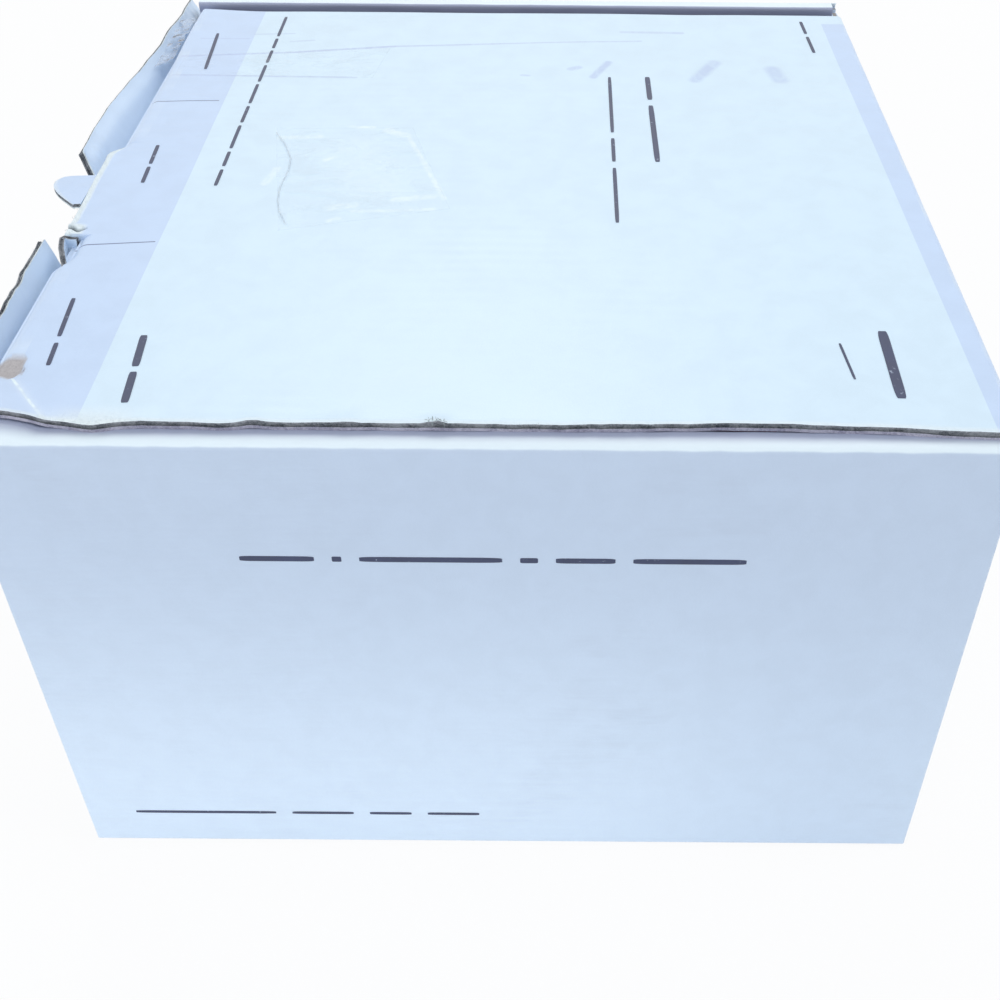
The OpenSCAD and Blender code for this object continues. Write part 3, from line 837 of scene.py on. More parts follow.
def lid_marks(x, y, here, inside):
    """(worn, torn, dark) of the lid's face, here millimetres behind its front edge and inside its right one."""
    wide = 1.6 + 0.35 * ripple(x, y, 3.0, 4.0) + 0.4 * smooth(2.0, -4.0, x)
    edge = (1 - smooth(0.7 * wide, wide, here)) * smooth(LEDGE_LEFT - 1.0, LEDGE_LEFT + 2.0, x)
    edge *= 1 - smooth(LEDGE_RIGHT - 0.1, LEDGE_RIGHT + 0.1, x)
    edge = max(edge, smooth(26.4, 27.6, x) * smooth(31.0, 30.0, x) * smooth(-79.6, -80.6, y))
    fold = 0.15 * (1 - smooth(0.2, 1.0, here)) * max(0.0, ripple(x, y, 9.0, 1.0) + 0.35)
    crease = 0.25 * hump(past_dog_ear(x, y), 0.6) * smooth(71.0, 78.0, x)
    rim = 0.6 * (1 - smooth(0.3, 1.3 + 0.6 * ripple(0.0, y, 8.0, 3.0), inside))
    notch = hump(y + 62.0, 6.0) * (1 - smooth(0.5, 5.0, inside))
    # under and rim_line, like slit, feed dark: painted shade under the torn spot's edge, along the ledge's front edge
    # and in the cut
    under = torn_spot(x + 0.5, y) * (1 - torn_spot(x + 1.1, y)) * smooth(74.0, 76.5, x)
    rim_line = 0.3 * (1 - smooth(0.0, 0.3, here)) * on_ledge(x)
    worn = min(1.0, edge + fold + crease + rim + 0.8 * notch)
    return worn, torn_spot(x, y), max(slit(x, y), 0.8 * under, rim_line)


def make_lid_board():
    columns = spaced([
        (LID_LEFT, 0.5), (-84, 2.0), (-12, 0.7), (0, 1.5), (26.2, 0.16), (29.6, 0.3), (LEDGE_RIGHT - 0.1, 0.1),
        (LEDGE_RIGHT + 0.1, 0.4), (34, 1.2), (44, 1.6), (66, 1.0), (84, 0.5), (88.4, 0.2), (LID_RIGHT, 1.0),
    ])
    depths = spaced([(0, 0.12), (1.0, 0.3), (4.0, 0.6), (16, 1.5), (163.2, 0.5), (165.0, 0.15), (166.2, 1)])
    cells = []
    for x0 in columns:
        start = front_edge(x0)
        row = []
        for depth in depths:
            y = start + (HALF_D - start) * depth / depths[-1]
            x = x0 + edge_reach(y) * max(0.0, x0 - 84) / (LID_RIGHT - 84)
            x -= 1.3 * smooth(-64.0, -84.0, y) * max(0.0, -82 - x0) / (-82 - LID_LEFT)
            board = BOARD_T - 0.15 * abs(ripple(x, y, 6.0, 8.0)) * smooth(86, LID_RIGHT, x)
            board += 0.2 * (smooth(84, LID_RIGHT, x) * smooth(66, 76, y))
            board = max(0.12, board - fold_fall(x, y) + max(0.0, edge_rise(x, y)))
            row.append((lid_point(x, y), board, *lid_marks(x, y, y - start, LID_RIGHT - x0)))
        cells.append(row)
    outer, thick, worn, torn, dark = ([[cell[k] for cell in row] for row in cells] for k in range(5))
    inward = np.zeros((len(outer), len(outer[0]), 3))
    inward[..., 2] = -1
    # Kind 4 gives the lid's raw edges a lower ply with painted shade
    return board_sheet(
        "lid_board", outer, inward, thick, (True, False, True, False),
        [lid_liner, raw_core, inner_liner, torn_edge, lower_ply_shade], ragged=0.25, kinds=(1, 1, 1, 1, 4), groove=0.35,
        marks={"worn": worn, "torn": torn, "dark": dark}, lower_ply=0.6,
    )


def corner_path(parts):
    """(place, outward normal) pairs along straight runs and arcs; each arc is (centre, radius, from, to, steps)."""
    points, normals = [], []
    for part in parts:
        if part[0] == "run":
            _, a, b, normal, steps = part
            for k in range(steps):
                t = k / steps
                points.append((a[0] + (b[0] - a[0]) * t, a[1] + (b[1] - a[1]) * t))
                normals.append(normal)
        else:
            _, centre, radius, start, end, steps = part
            for k in range(steps + 1 if part is parts[-1] else steps):
                turn = math.radians(start + (end - start) * k / steps)
                points.append((centre[0] + radius * math.cos(turn), centre[1] + radius * math.sin(turn)))
                normals.append((math.cos(turn), math.sin(turn)))
    return points, normals


def make_hinge_crease():
    """Liner that runs from the back wall over the hinge onto the lid."""
    r = 1.3
    section, normal = corner_path([
        ("run", (HALF_D + 0.04, 101.5), (HALF_D + 0.04, LID_TOP + 0.04 - r), (1.0, 0.0), 6),
        ("arc", (HALF_D + 0.04 - r, LID_TOP + 0.04 - r), r, 0.0, 90.0, 12),
        ("run", (HALF_D + 0.04 - r, LID_TOP + 0.04), (HALF_D - 2.0, LID_TOP + 0.03), (0.0, 1.0), 2),
        ("run", (HALF_D - 2.0, LID_TOP + 0.03), (HALF_D - 6.0, LID_TOP - 0.03), (0.0, 1.0), 6),
    ])
    inward = [(0.0, -a, -b) for a, b in normal]

    def wobble(x, y, z):
        lift = lid_rise(x, min(y, HALF_D - 1.4)) if z > LID_TOP - 0.5 else 0.0
        return (x, y + 0.06 * ripple(x, z, 9.0), z + lift)

    columns = spaced([(LID_LEFT + 0.1, 2.0), (LID_RIGHT - 0.3, 1.0)])
    outer = [[wobble(x, y, z) for y, z in section] for x in columns]
    piece = skin("hinge_crease", outer, [inward] * len(columns), COVER_T, lid_liner)
    worn = [0.55 * max(0.0, ripple(v.co.x / MM, v.co.z / MM, 7.0, 2.0)) * (1.0 if v.co.y > 0.0828 else 0.0)
            for v in piece.data.vertices]
    mark(piece, "worn", worn)
    for label in ("torn", "dark"):
        mark(piece, label, [0.0] * len(worn))
    return piece


def make_tuck_crease():
    """Liner that runs from the lid over its front fold onto the tuck flap, left and right of the ledge."""
    lean = math.radians(TUCK_LEAN)
    out = (-math.cos(lean), -math.sin(lean))
    run = (math.sin(lean), -math.cos(lean))
    halves = []
    for side, (a, b) in (("left", (-85.3, -9.0)), ("right", (43.5, 84.6))):
        outer, inward = [], []
        for x in spaced([(a, 1.8), (b, 1.0)]):
            r = fold_radius(x)
            cy, cz = FOLD_Y + r, LID_TOP - r
            tip = (cy + (r + 0.05) * math.cos(math.pi + lean), cz + (r + 0.05) * math.sin(math.pi + lean))
            section, normal = corner_path([
                ("run", (cy + 2.6, LID_TOP - 0.03), (cy, LID_TOP + 0.04), (0.0, 1.0), 5),
                ("arc", (cy, cz), r + 0.05, 90.0, 180.0 + TUCK_LEAN, 12),
                ("run", tip, (tip[0] + run[0] * 5.0, tip[1] + run[1] * 5.0), out, 6),
            ])
            line = []
            for y, z in section:
                share = smooth(LID_TOP - 2.5, LID_TOP - 0.5, z)
                line.append((x, y, z + share * lid_rise(x, max(y, FOLD_Y + 0.6))))
            outer.append(line)
            inward.append([(0.0, -ny, -nz) for ny, nz in normal])
        halves.append(skin(f"tuck_crease_{side}", outer, inward, COVER_T, lid_liner))
    piece = joined("tuck_crease", halves)
    places = [tuple(c / MM for c in v.co) for v in piece.data.vertices]
    mark(piece, "worn", [0.3 * max(0.0, ripple(x, z, 6.0, 5.0) + 0.1) * (z > 106.6) for x, y, z in places])
    mark(piece, "torn", [torn_spot(x, y) * (z > 106.2) for x, y, z in places])
    mark(piece, "dark", [0.0] * len(places))
    return piece


TAB_TIP = (  # X and Y along the tab's outline
    (6.1, -90.9), (6.6, -91.8), (7.6, -92.1), (9.0, -92.0), (10.4, -91.5), (12.0, -90.6), (14.0, -89.2),
    (16.0, -87.5), (17.5, -86.1), (18.3, -85.2),
)


def make_thumb_tab():
    """Half-moon tab, cut straight on its far side and slanted on its near side."""
    tip_x, tip_y = zip(*TAB_TIP)
    root = FOLD_Y - LEDGE_OUT + 0.5
    rows = 16
    outer, inward = [], []
    for x in np.linspace(tip_x[0], tip_x[-1], 34):
        tip = float(np.interp(x, tip_x, tip_y))
        row = []
        for v in np.linspace(0, 1, rows):
            y = root + (tip - root) * v
            curl = -0.15 - 0.008 * (y - root) ** 2 + 0.08 * ripple(x, y, 3.0, 2.0)
            row.append((x, y, LID_TOP + curl - round_off((1 - v) * abs(tip - root), 0.35, 0.2)))
        outer.append(row)
        inward.append([(0.0, 0.0, -1.0)] * rows)
    clean = [[0.0] * rows] * len(outer)
    worn = [[0.6 * smooth(0.86, 1.0, k / (rows - 1)) for k in range(rows)]] * len(outer)
    return board_sheet(
        "thumb_tab", outer, inward, 0.95, (True, True, True, False),
        [lid_liner, raw_core, inner_liner, torn_edge], ragged=0.2, kinds=(1, 1, 1, 1, 3), groove=0.35,
        marks={"worn": worn, "torn": clean, "dark": clean},
    )


def make_torn_ear():
    """Scrap of board left standing beside the ledge, with its raw edge up."""
    path = [(31.3, -80.4), (31.0, -82.2), (30.9, -83.3), (31.6, -83.9), (33.4, -83.5), (36.0, -82.8), (39.2, -81.6),
            (42.4, -80.3)]
    outer, inward = [], []
    for t in np.linspace(0, len(path) - 1, 40):
        i = min(int(t), len(path) - 2)
        (x0, y0), (x1, y1) = path[i], path[i + 1]
        x, y = x0 + (x1 - x0) * (t - i), y0 + (y1 - y0) * (t - i)
        length = math.hypot(x1 - x0, y1 - y0)
        nx, ny = (y0 - y1) / length, (x1 - x0) / length
        row = []
        for v in np.linspace(0, 1, 14):
            z = LID_TOP - 0.2 - 5.0 * (1 - v) + 0.2 * ripple(x, y, 2.0, 1.0) * v
            pull = (1 - v) ** 2
            row.append((x + (36 - x) * 0.10 * pull, y + (FOLD_Y - 0.6 - y) * 0.6 * pull, z))
        outer.append(row)
        inward.append([(nx, ny, 0.0)] * 14)
    return board_sheet(
        "torn_ear", outer, inward, 1.0, (True, True, True, False), [lip_liner_painted_bright, raw_core, lip_liner_painted_bright, torn_edge],
        ragged=0.25, kinds=(1, 1, 1, 1, 1), groove=0.3,
    )


# Front lips


def lip_section(lean, length, rows):
    """(y, z, lean) down one lip, from just under the bend to its top edge."""
    points = []
    start, step = -2.4, 0.05
    y, z, done = -HALF_D - 0.03, BEND_Z + start, start

    def leans_at(run):
        return math.radians(lean) * smooth(-1.4, 2.4, run) + math.radians(4.0) * smooth(length * 0.5, length, run)

    for stop in np.linspace(start, length, rows):
        while done < stop - 1e-6:
            y -= math.sin(leans_at(done)) * step
            z += math.cos(leans_at(done)) * step
            done += step
        points.append((y, z, leans_at(done)))
    return points


def make_lip(name, corner, flare, foot, top, length, leans, seed, crush, wander):
    """A torn lip of the front wall, from its corner to its torn end, leaning by the table of (x, degrees).

    flare is how far the corner's top stands out past its foot, crush the share of the thickness that is
    crushed away along the top edge, and wander how uneven the lip and its top edge are."""
    rows, cols = 26, 62
    outer, inward, thick = [], [], []
    places, angles = zip(*leans)
    for c in range(cols):
        u = c / (cols - 1)
        row, row_n, row_t = [], [], []
        along = corner + (foot + (top - foot) * 0.6 - corner) * u
        ragged = wander * (0.30 * ripple(along, seed, 3.1, 1.0) + 0.35 * ripple(along, seed, 12.0, 2.0))
        section = lip_section(float(np.interp(along, places, angles)), length + ragged, rows)
        for r, (y, z, turn) in enumerate(section):
            v = r / (rows - 1)
            end = foot + (top - foot) * v
            end += (0.35 * ripple(v * 20, seed, 4.0, 5.0) + 0.12 * ripple(v * 20, seed, 1.3, 3.0)) * (0.3 + v)
            side = corner + flare * v
            x = side + (end - side) * u
            bow = 0.35 * wander * ripple(x, z, 16.0, seed) * v
            row.append((x, y - bow * math.cos(turn), z - bow * math.sin(turn)))
            row_n.append((0.0, math.cos(turn), math.sin(turn)))
            row_t.append((BOARD_T + 0.06) * (1 - crush * smooth(0.84, 1.0, v) * smooth(1.0, 0.97, u)))
        outer.append(row)
        inward.append(row_n)
        thick.append(row_t)
    return board_sheet(
        name, outer, inward, thick, (True, True, True, False), [side_liner, raw_core, lip_liner_painted_bright, torn_edge],
        ragged=0.4, kinds=(1, 1, 1, 1, 3), groove=0.5,
    ), outer, inward


# Side liners


def side_swell(y, z, right):
    """How far a side's liner stands out at one place."""
    top, seed = (RIGHT_TOP, 1.0) if right else (LEFT_TOP, -1.0)
    swell = 0.05 * (1 + ripple(y, z, 34.0, 3.0 * seed)) * smooth(2.0, 14.0, z) * smooth(top - 2.0, top - 14.0, z)
    swell += 0.05 * (1 + ripple(y, z, 5.0, 8.0 * seed)) * smooth(top - 6.0, top - 2.5, z)
    return swell + 0.03 * (1 + ripple(y, z, 1.6, 4.0 * seed)) * smooth(top - 3.0, top - 1.5, z)


def make_side_liner(name, right):
    """Liner of one side wall, from its foot up the outer face and over the soft roll to the inside."""
    sign = 1 if right else -1
    top = RIGHT_TOP if right else LEFT_TOP
    r = 1.56
    face = HALF_W + 0.05
    soft = BOARD_T if right else 0.5
    section, normal = corner_path([
        ("arc", (HALF_W - BOARD_T, BOARD_T), r, -62.0, 0.0, 5),
        ("run", (face, BOARD_T), (face, top - BOARD_T - 3.0), (1.0, 0.0), 50),
        ("run", (face, top - BOARD_T - 3.0), (face, top - BOARD_T), (1.0, 0.0), 4),
        ("arc", (HALF_W - BOARD_T, top - BOARD_T), r, 0.0, 90.0, 10),
        ("run", (HALF_W - BOARD_T, top + 0.06), (INSIDE_X + soft, top + 0.06), (0.0, 1.0), 3),
        ("arc", (INSIDE_X + soft, top - soft), soft + 0.06, 90.0, 180.0, 8),
        ("run", (INSIDE_X - 0.06, top - soft), (INSIDE_X - 0.06, top - 6.0), (-1.0, 0.0), 3),
    ])
    outer, inward = [], []
    for y in spaced([(-HALF_D + 0.02, 0.5), (-82.4, 1.5), (81.4, 0.5), (HALF_D - 0.02, 1)]):
        row, row_n = [], []
        for (x, z), (nx, nz) in zip(section, normal):
            swell = side_swell(y, z, right)
            if right:
                sprung = smooth(HALF_W - 0.4, HALF_W - 2.2, x) * smooth(top - 4.0, top - 1.5, z)
                swell += (0.16 + 0.85 * ear_lift(88.0, y)) * sprung
            limit = y if x > HALF_W - 1.2 else min(y, HALF_D - BOARD_T)
            row.append((sign * (x + nx * swell), limit, z + nz * swell))
            row_n.append((-sign * nx, 0.0, -nz))
        outer.append(row)
        inward.append(row_n)
    return skin(name, outer, inward, COVER_T, side_liner_right_painted_light if right else side_liner_left_painted_light)


# Repeats by geometry nodes


def start_geometry(name, inputs):
    given = {"Geometry": "NodeSocketGeometry", **inputs, "Material": "NodeSocketMaterial"}
    return start_group(name, "GeometryNodeTree", given, ("Geometry",), "NodeSocketGeometry")


def end_geometry(w, given, out, geometry):
    solid = w.node("GeometryNodeRealizeInstances", Geometry=geometry).outputs[0]
    painted = w.node("GeometryNodeSetMaterial", Geometry=solid, Material=given["Material"]).outputs[0]
    w.feed(out["Geometry"], painted)
    return w.tree


def thickened(w, sheet, depth, merge):
    """The sheet made a closed solid of this depth."""
    top = w.node("GeometryNodeExtrudeMesh", {"mode": "FACES"}, Mesh=sheet, Offset_Scale=depth)
    w.feed(top.inputs["Individual"], False)
    under = w.node("GeometryNodeFlipFaces", Mesh=sheet).outputs[0]
    whole = w.node("GeometryNodeJoinGeometry")
    for half in (top.outputs[0], under):
        w.feed(whole.inputs[0], half)
    return w.node("GeometryNodeMergeByDistance", Geometry=whole.outputs[0], Distance=merge).outputs[0]


def make_flute_row():
    """A wavy sheet that follows a torn edge, between the two liners."""
    w, given, out = start_geometry("flute_row", {
        "Pitch": FLUTE_PITCH * MM, "Wave Height": 0.00045, "Depth": 0.0011, "Sheet": 0.0002, "Seed": 1})
    path = w.node("GeometryNodeMeshToCurve", Mesh=given["Geometry"]).outputs[0]
    fine = w.node("GeometryNodeResampleCurve", {"mode": "LENGTH"}, Curve=path)
    w.feed(fine.inputs["Length"], w.math("DIVIDE", given["Pitch"], 10.0))
    run = w.node("GeometryNodeSplineParameter").outputs["Length"]
    wave = w.math("SINE", w.times(w.math("DIVIDE", run, given["Pitch"]), 2 * math.pi))
    uneven = w.random(0.75, 1.1, given["Seed"])
    height = w.times(wave, given["Wave Height"], uneven)
    lift = w.vector("SCALE", w.arrow("across"), scale=height)
    moved = w.node("GeometryNodeSetPosition", Geometry=fine.outputs[0], Offset=lift)
    line = w.node("GeometryNodeCurveToMesh", Curve=moved.outputs[0]).outputs[0]
    ribbon = w.node("GeometryNodeExtrudeMesh", {"mode": "EDGES"}, Mesh=line, Offset=w.arrow("into"),
                    Offset_Scale=given["Depth"]).outputs[0]
    return end_geometry(w, given, out, thickened(w, ribbon, given["Sheet"], 0.00001))


def make_fibre_row():
    """Short paper fibres that stand out of a torn edge."""
    w, given, out = start_geometry("torn_fibres", {
        "Count": 60, "Fibre Length": 0.0011, "Fibre Radius": 0.00004, "Seed": 1})
    path = w.node("GeometryNodeMeshToCurve", Mesh=given["Geometry"]).outputs[0]
    spots = w.node("GeometryNodeCurveToPoints", {"mode": "COUNT"}, Curve=path, Count=given["Count"]).outputs[0]
    arc = w.node("GeometryNodeCurveArc", {"mode": "RADIUS"}, Resolution=5, Radius=given["Fibre Length"],
                 Start_Angle=0.0, Sweep_Angle=1.4)
    ring = w.node("GeometryNodeCurvePrimitiveCircle", {"mode": "RADIUS"}, Resolution=4, Radius=given["Fibre Radius"])
    fibre = w.node("GeometryNodeCurveToMesh", Curve=arc.outputs[0], Profile_Curve=ring.outputs[0], Fill_Caps=True)
    middle = w.node("GeometryNodeTransform", Geometry=fibre.outputs[0])
    shift = w.node("ShaderNodeCombineXYZ", X=w.times(given["Fibre Length"], -1.0)).outputs[0]
    w.feed(middle.inputs["Translation"], shift)
    turn = w.random((-3.1, -3.1, -3.1), (3.1, 3.1, 3.1), given["Seed"])
    size = w.random(0.25, 1.0, w.plus(given["Seed"], 7.0))
    strewn = w.node("GeometryNodeInstanceOnPoints", Points=spots, Instance=middle.outputs[0], Rotation=turn,
                    Scale=size)
    return end_geometry(w, given, out, strewn.outputs[0])


def make_dash_rows():
    """Rows of rounded dashes that stand for lines of print, one for each point."""
    w, given, out = start_geometry("print_dashes", {"Ink": INK_T})
    square = w.node("GeometryNodeCurvePrimitiveQuadrilateral", Width=1.0, Height=1.0).outputs[0]
    soft = w.node("GeometryNodeFilletCurve", {"mode": "POLY"}, Curve=square, Radius=0.16, Count=3).outputs[0]
    flat = w.node("GeometryNodeFillCurve", Curve=soft).outputs[0]
    laid = w.node("GeometryNodeInstanceOnPoints", Points=given["Geometry"], Instance=flat, Rotation=w.arrow("turn"),
                  Scale=w.arrow("size")).outputs[0]
    solid = w.node("GeometryNodeRealizeInstances", Geometry=laid).outputs[0]
    return end_geometry(w, given, out, thickened(w, solid, given["Ink"], 0.000001))


flute_row = make_flute_row()
fibre_row = make_fibre_row()
dash_rows = make_dash_rows()


def grown(name, points, edges, tree, values, vectors=None):
    """A piece that a geometry node tree makes from a path or points in millimetres."""
    mesh = bpy.data.meshes.new(name)
    mesh.from_pydata([tuple(c * MM for c in p) for p in points], edges, [])
    for label, rows in (vectors or {}).items():
        attribute = mesh.attributes.new(label, "FLOAT_VECTOR", "POINT")
        attribute.data.foreach_set("vector", np.array(rows, np.float32).reshape(-1))
    piece = placed(name, mesh)
    modifier = piece.modifiers.new("made", "NODES")
    modifier.node_group = tree
    for item in tree.interface.items_tree:
        if item.in_out == "INPUT" and item.name in values:
            modifier[item.identifier] = values[item.name]
    bpy.context.view_layer.update()
    evaluated = piece.evaluated_get(bpy.context.evaluated_depsgraph_get())
    made = bpy.data.meshes.new_from_object(evaluated)
    piece.modifiers.remove(modifier)
    piece.data = made
    made.name = name
    return piece


def chain(points):
    return [(k, k + 1) for k in range(len(points) - 1)]


def flutes_on_edge(name, outer, inward, thick, seed):
    """Wavy middle in the raw top edge of a board this thick, whose grid lines end there."""
    points, across, into = [], [], []
    for line, directions in zip(outer, inward):
        p, n = np.array(line[-1], float), np.array(directions[-1], float)
        down = np.array(line[-2], float) - p
        down /= np.linalg.norm(down)
        points.append(p + n * thick / 2 + down * 0.1)
        across.append(n)
        into.append(down)
    values = {"Material": raw_core, "Seed": seed, "Wave Height": 0.2 * thick * MM, "Depth": 0.0005}
    return grown(name, points, chain(points), flute_row, values, {"across": across, "into": into})


# Tape


def off_path(place, path):
    """Distance of a place from a path of straight runs."""
    least = 1e9
    for start, end in zip(path, path[1:]):
        a, run = np.array(start, float), np.array(end, float) - np.array(start, float)
        t = min(1.0, max(0.0, float((place - a) @ run / (run @ run))))
        least = min(least, float(np.linalg.norm(place - a - run * t)))
    return least


def make_tape(name, corners, columns, rows, lift, wrinkle, crease=None):
    """Clear film stuck to the lid between four corners, with uneven sides and a crease along a path."""
    a, b, c, d = [np.array(p, float) for p in corners]
    outer, worn = [], []
    for v in np.linspace(0, 1, rows):
        line, edge = [], []
        for u in np.linspace(0, 1, columns):
            p = (a * (1 - u) + b * u) * (1 - v) + (d * (1 - u) + c * u) * v
            side = min(u, 1 - u, v, 1 - v)
            p = p + np.array([ripple(p[0], p[1], 9.0, 1.0), ripple(p[0], p[1], 9.0, 2.0)]) * wrinkle * 4
            z = LID_TOP + lid_rise(p[0], p[1]) + lift
            z += wrinkle * (0.5 + 0.5 * ripple(p[0] * 1.4, p[1], 6.0, 3.0)) * smooth(0.0, 0.08, side)
            dark = 0.1 * (1 - smooth(0.0, 0.02, side))
            if crease is not None:
                near = 0.8 * hump(off_path(p, crease), 0.22)
                z += 0.12 * near
                dark = max(dark, near)
            line.append((p[0], p[1], z))
            edge.append(dark)
        outer.append(line)
        worn.append(edge)
    return skin(name, outer, [[(0.0, 0.0, -1.0)] * columns] * rows, TAPE_T, tape_film, {"worn": worn})


CRUMPLE_SEED = 7
CRUMPLED_SCRAPS = (  # left and right X, outer and inner Y, outer and inner Z
    (-84.0, -73.0, -86.9, -82.9, 106.9, 106.1), (-73.5, -64.0, -87.1, -82.9, 106.8, 106.0),
    (-65.0, -55.5, -87.2, -83.0, 106.4, 105.4),
)


def make_tape_crumple():
    """Crumpled scraps of tape in the fold between the left lip and the lid."""
    noise.seed_set(CRUMPLE_SEED)  # without a seed, noise_vector is shifted by the clock and differs each run
    scraps = []
    for k, (x0, x1, y0, y1, z0, z1) in enumerate(CRUMPLED_SCRAPS):
        outer = []
        for u in np.linspace(0, 1, 22):
            line = []
            for v in np.linspace(0, 1, 9):
                x, y, z = x0 + (x1 - x0) * u, y0 + (y1 - y0) * v, z1 + (z0 - z1) * v
                jag = noise.noise_vector(Vector((x / 3.4, y / 2.6, k * 3.0))) * 0.9
                line.append((x + jag.x, min(y + jag.y, FOLD_Y - 0.4), z + 0.6 * abs(jag.z)))
            outer.append(line)
        scrap = skin(f"tape_scrap_{k}", outer, [[(0.0, -0.6, -0.8)] * 9] * 22, 0.05, tape_crumple)
        spots = [ripple(v.co.x / MM, v.co.y / MM, 1.8, 6.0) for v in scrap.data.vertices]
        mark(scrap, "worn", [0.9 * smooth(0.12, 0.4, spot) for spot in spots])
        for polygon in scrap.data.polygons:
            polygon.use_smooth = False
        scraps.append(scrap)
    return joined("tape_crumple", scraps)


# Print


def dash_block(name, lines, plane):
    """Dashes for lines of print, each line (start, direction, height, lengths, gap) in millimetres on the plane."""
    points, sizes, turns = [], [], []
    for start, direction, height, lengths, gap in lines:
        d = np.array(direction, float)
        d /= np.linalg.norm(d)
        place = np.array(start, float)
        for length in lengths:
            middle = place + d * length / 2
            place = place + d * (length + gap)
            if plane == "lid":
                points.append((middle[0], middle[1], LID_TOP + 0.035))
                turns.append((0.0, 0.0, math.atan2(d[1], d[0])))
            else:
                points.append((HALF_W + 0.06, middle[0], middle[1]))
                turns.append((math.pi / 2, 0.0, math.pi / 2))
            sizes.append((length * MM, height * MM, 1.0))
    return grown(name, points, [], dash_rows, {"Material": print_ink, "Ink": INK_T}, {"size": sizes, "turn": turns})


def settle_on_lid(piece):
    """Lets a flat printed piece follow the lid's face."""
    for v in piece.data.vertices:
        v.co.z += lid_rise(v.co.x / MM, v.co.y / MM) * MM


def settle_on_side(piece):
    """Lets a flat printed piece follow the right side's liner."""
    for v in piece.data.vertices:
        v.co.x += side_swell(v.co.y / MM, v.co.z / MM, True) * MM


def aside(piece):
    """Moves a piece that was made from the lid's line to its place on the carton."""
    for v in piece.data.vertices:
        v.co.x += LID_MIDDLE * MM
    return piece


# Build

lid_board = aside(make_lid_board())
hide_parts("lid_panel")
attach(lid_board, "lid")

thumb_tab = aside(make_thumb_tab())
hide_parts("pull_tab")
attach(thumb_tab, "lid")

torn_ear = aside(make_torn_ear())
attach(torn_ear, "lid")

LEFT_LEANS = [(-95, 12.7), (-88, 12.5), (-84, 12.3), (-80, 13.2), (-76, 15.3), (-72, 16), (-64, 15.2), (-60, 16),
              (-56, 17.4), (-52, 18.7), (-48, 20.6), (-44, 24), (-40, 26.7), (-34, 30.6), (-30, 32), (-18, 33),
              (-12, 30.5), (4, 29)]
RIGHT_LEANS = [(30, 16.0), (38, 14.5), (50, 13.0), (87, 12.0)]
lip_left, left_outer, left_inward = make_lip(
    "lip_left_torn", LIP_LEFT_END, -3.4, 4.6, -10.6, 18.4, LEFT_LEANS, 11.0, 0.55, 0.4)
lip_right, right_outer, right_inward = make_lip(
    "lip_right_torn", LIP_RIGHT_END, 0.0, 31.0, 29.4, 18.2, RIGHT_LEANS, 23.0, 0.2, 1.0)
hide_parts("front_lip_left")
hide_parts("front_lip_right")
lip_left_flutes = flutes_on_edge("lip_left_flutes", left_outer, left_inward, 0.7, 3)
lip_right_flutes = flutes_on_edge("lip_right_flutes", right_outer, right_inward, 1.25, 5)
side_cover_left = make_side_liner("side_cover_left", False)
side_cover_right = make_side_liner("side_cover_right", True)

tape_patch = make_tape(
    "tape_patch", [(-16.5, -51.0), (-17.5, -21.0), (19.5, -10.5), (28.5, -43.0)], 110, 70, 0.05, 0.08,
    crease=[(-13.9, -50.4), (-8.4, -47.6), (-1.6, -45.3), (2.9, -44.9), (11.5, -45.4), (16.9, -45.0), (20.9, -44.0),
            (26.1, -41.9)],
)
tape_strip = make_tape("tape_strip", [(-57.0, -79.5), (-44.8, -79.5), (-44.0, -33.0), (-62.0, -30.5)], 30, 50,
                       0.04, 0.05)
for film in (tape_patch, tape_strip):
    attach(aside(film), "lid")
tape_crumple_piece = make_tape_crumple()

lid_print = dash_block("lid_print", [
    ((-45.5, 31.5), (1.0, 0.002), 1.2, [12.6, 27.8], 3.2),
    ((-45.3, 22.6), (1.0, -0.004), 0.8, [29.5, 11.0, 23.3], 3.0),
    ((-82.0, -59.4), (1.0, 0.008), 0.75, [13.0, 6.0, 7.5, 9.5, 10.5, 8.5, 11.0, 6.5, 7.0], 1.6),
    ((-81.5, 72.6), (1.0, 0.03), 0.8, [8.0, 10.0], 2.0),
    ((-70.5, -74.6), (1.0, 0.07), 0.8, [22.5], 2.0),
    ((-7.5, -74.5), (1.0, 0.05), 0.8, [8.5, 7.0], 1.4),
    ((53.5, -74.8), (1.0, 0.08), 0.8, [12.0, 6.5], 2.0),
    ((65.0, -59.5), (1.0, 0.08), 1.3, [9.0, 8.5], 1.6),
    ((61.7, 66.8), (1.0, -0.021), 1.8, [19.5], 2.0),
    ((65.5, 58.9), (1.0, 0.08), 0.45, [10.5], 2.0),
], "lid")
settle_on_lid(lid_print)
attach(aside(lid_print), "lid")

side_print = dash_block("side_print", [
    ((-42.2, 81.7), (1.0, 0.0), 1.15, [12.5, 1.6, 24.0, 3.0, 10.0, 19.0], 3.0),
    ((-74.2, 10.4), (1.0, 0.0), 0.8, [28.5, 12.5, 8.5, 10.5], 3.3),
], "side")
settle_on_side(side_print)


def fibres(name, path, material, count, seed, length):
    values = {"Material": material, "Count": count, "Seed": seed, "Fibre Length": length}
    return grown(name, path, chain(path), fibre_row, values)


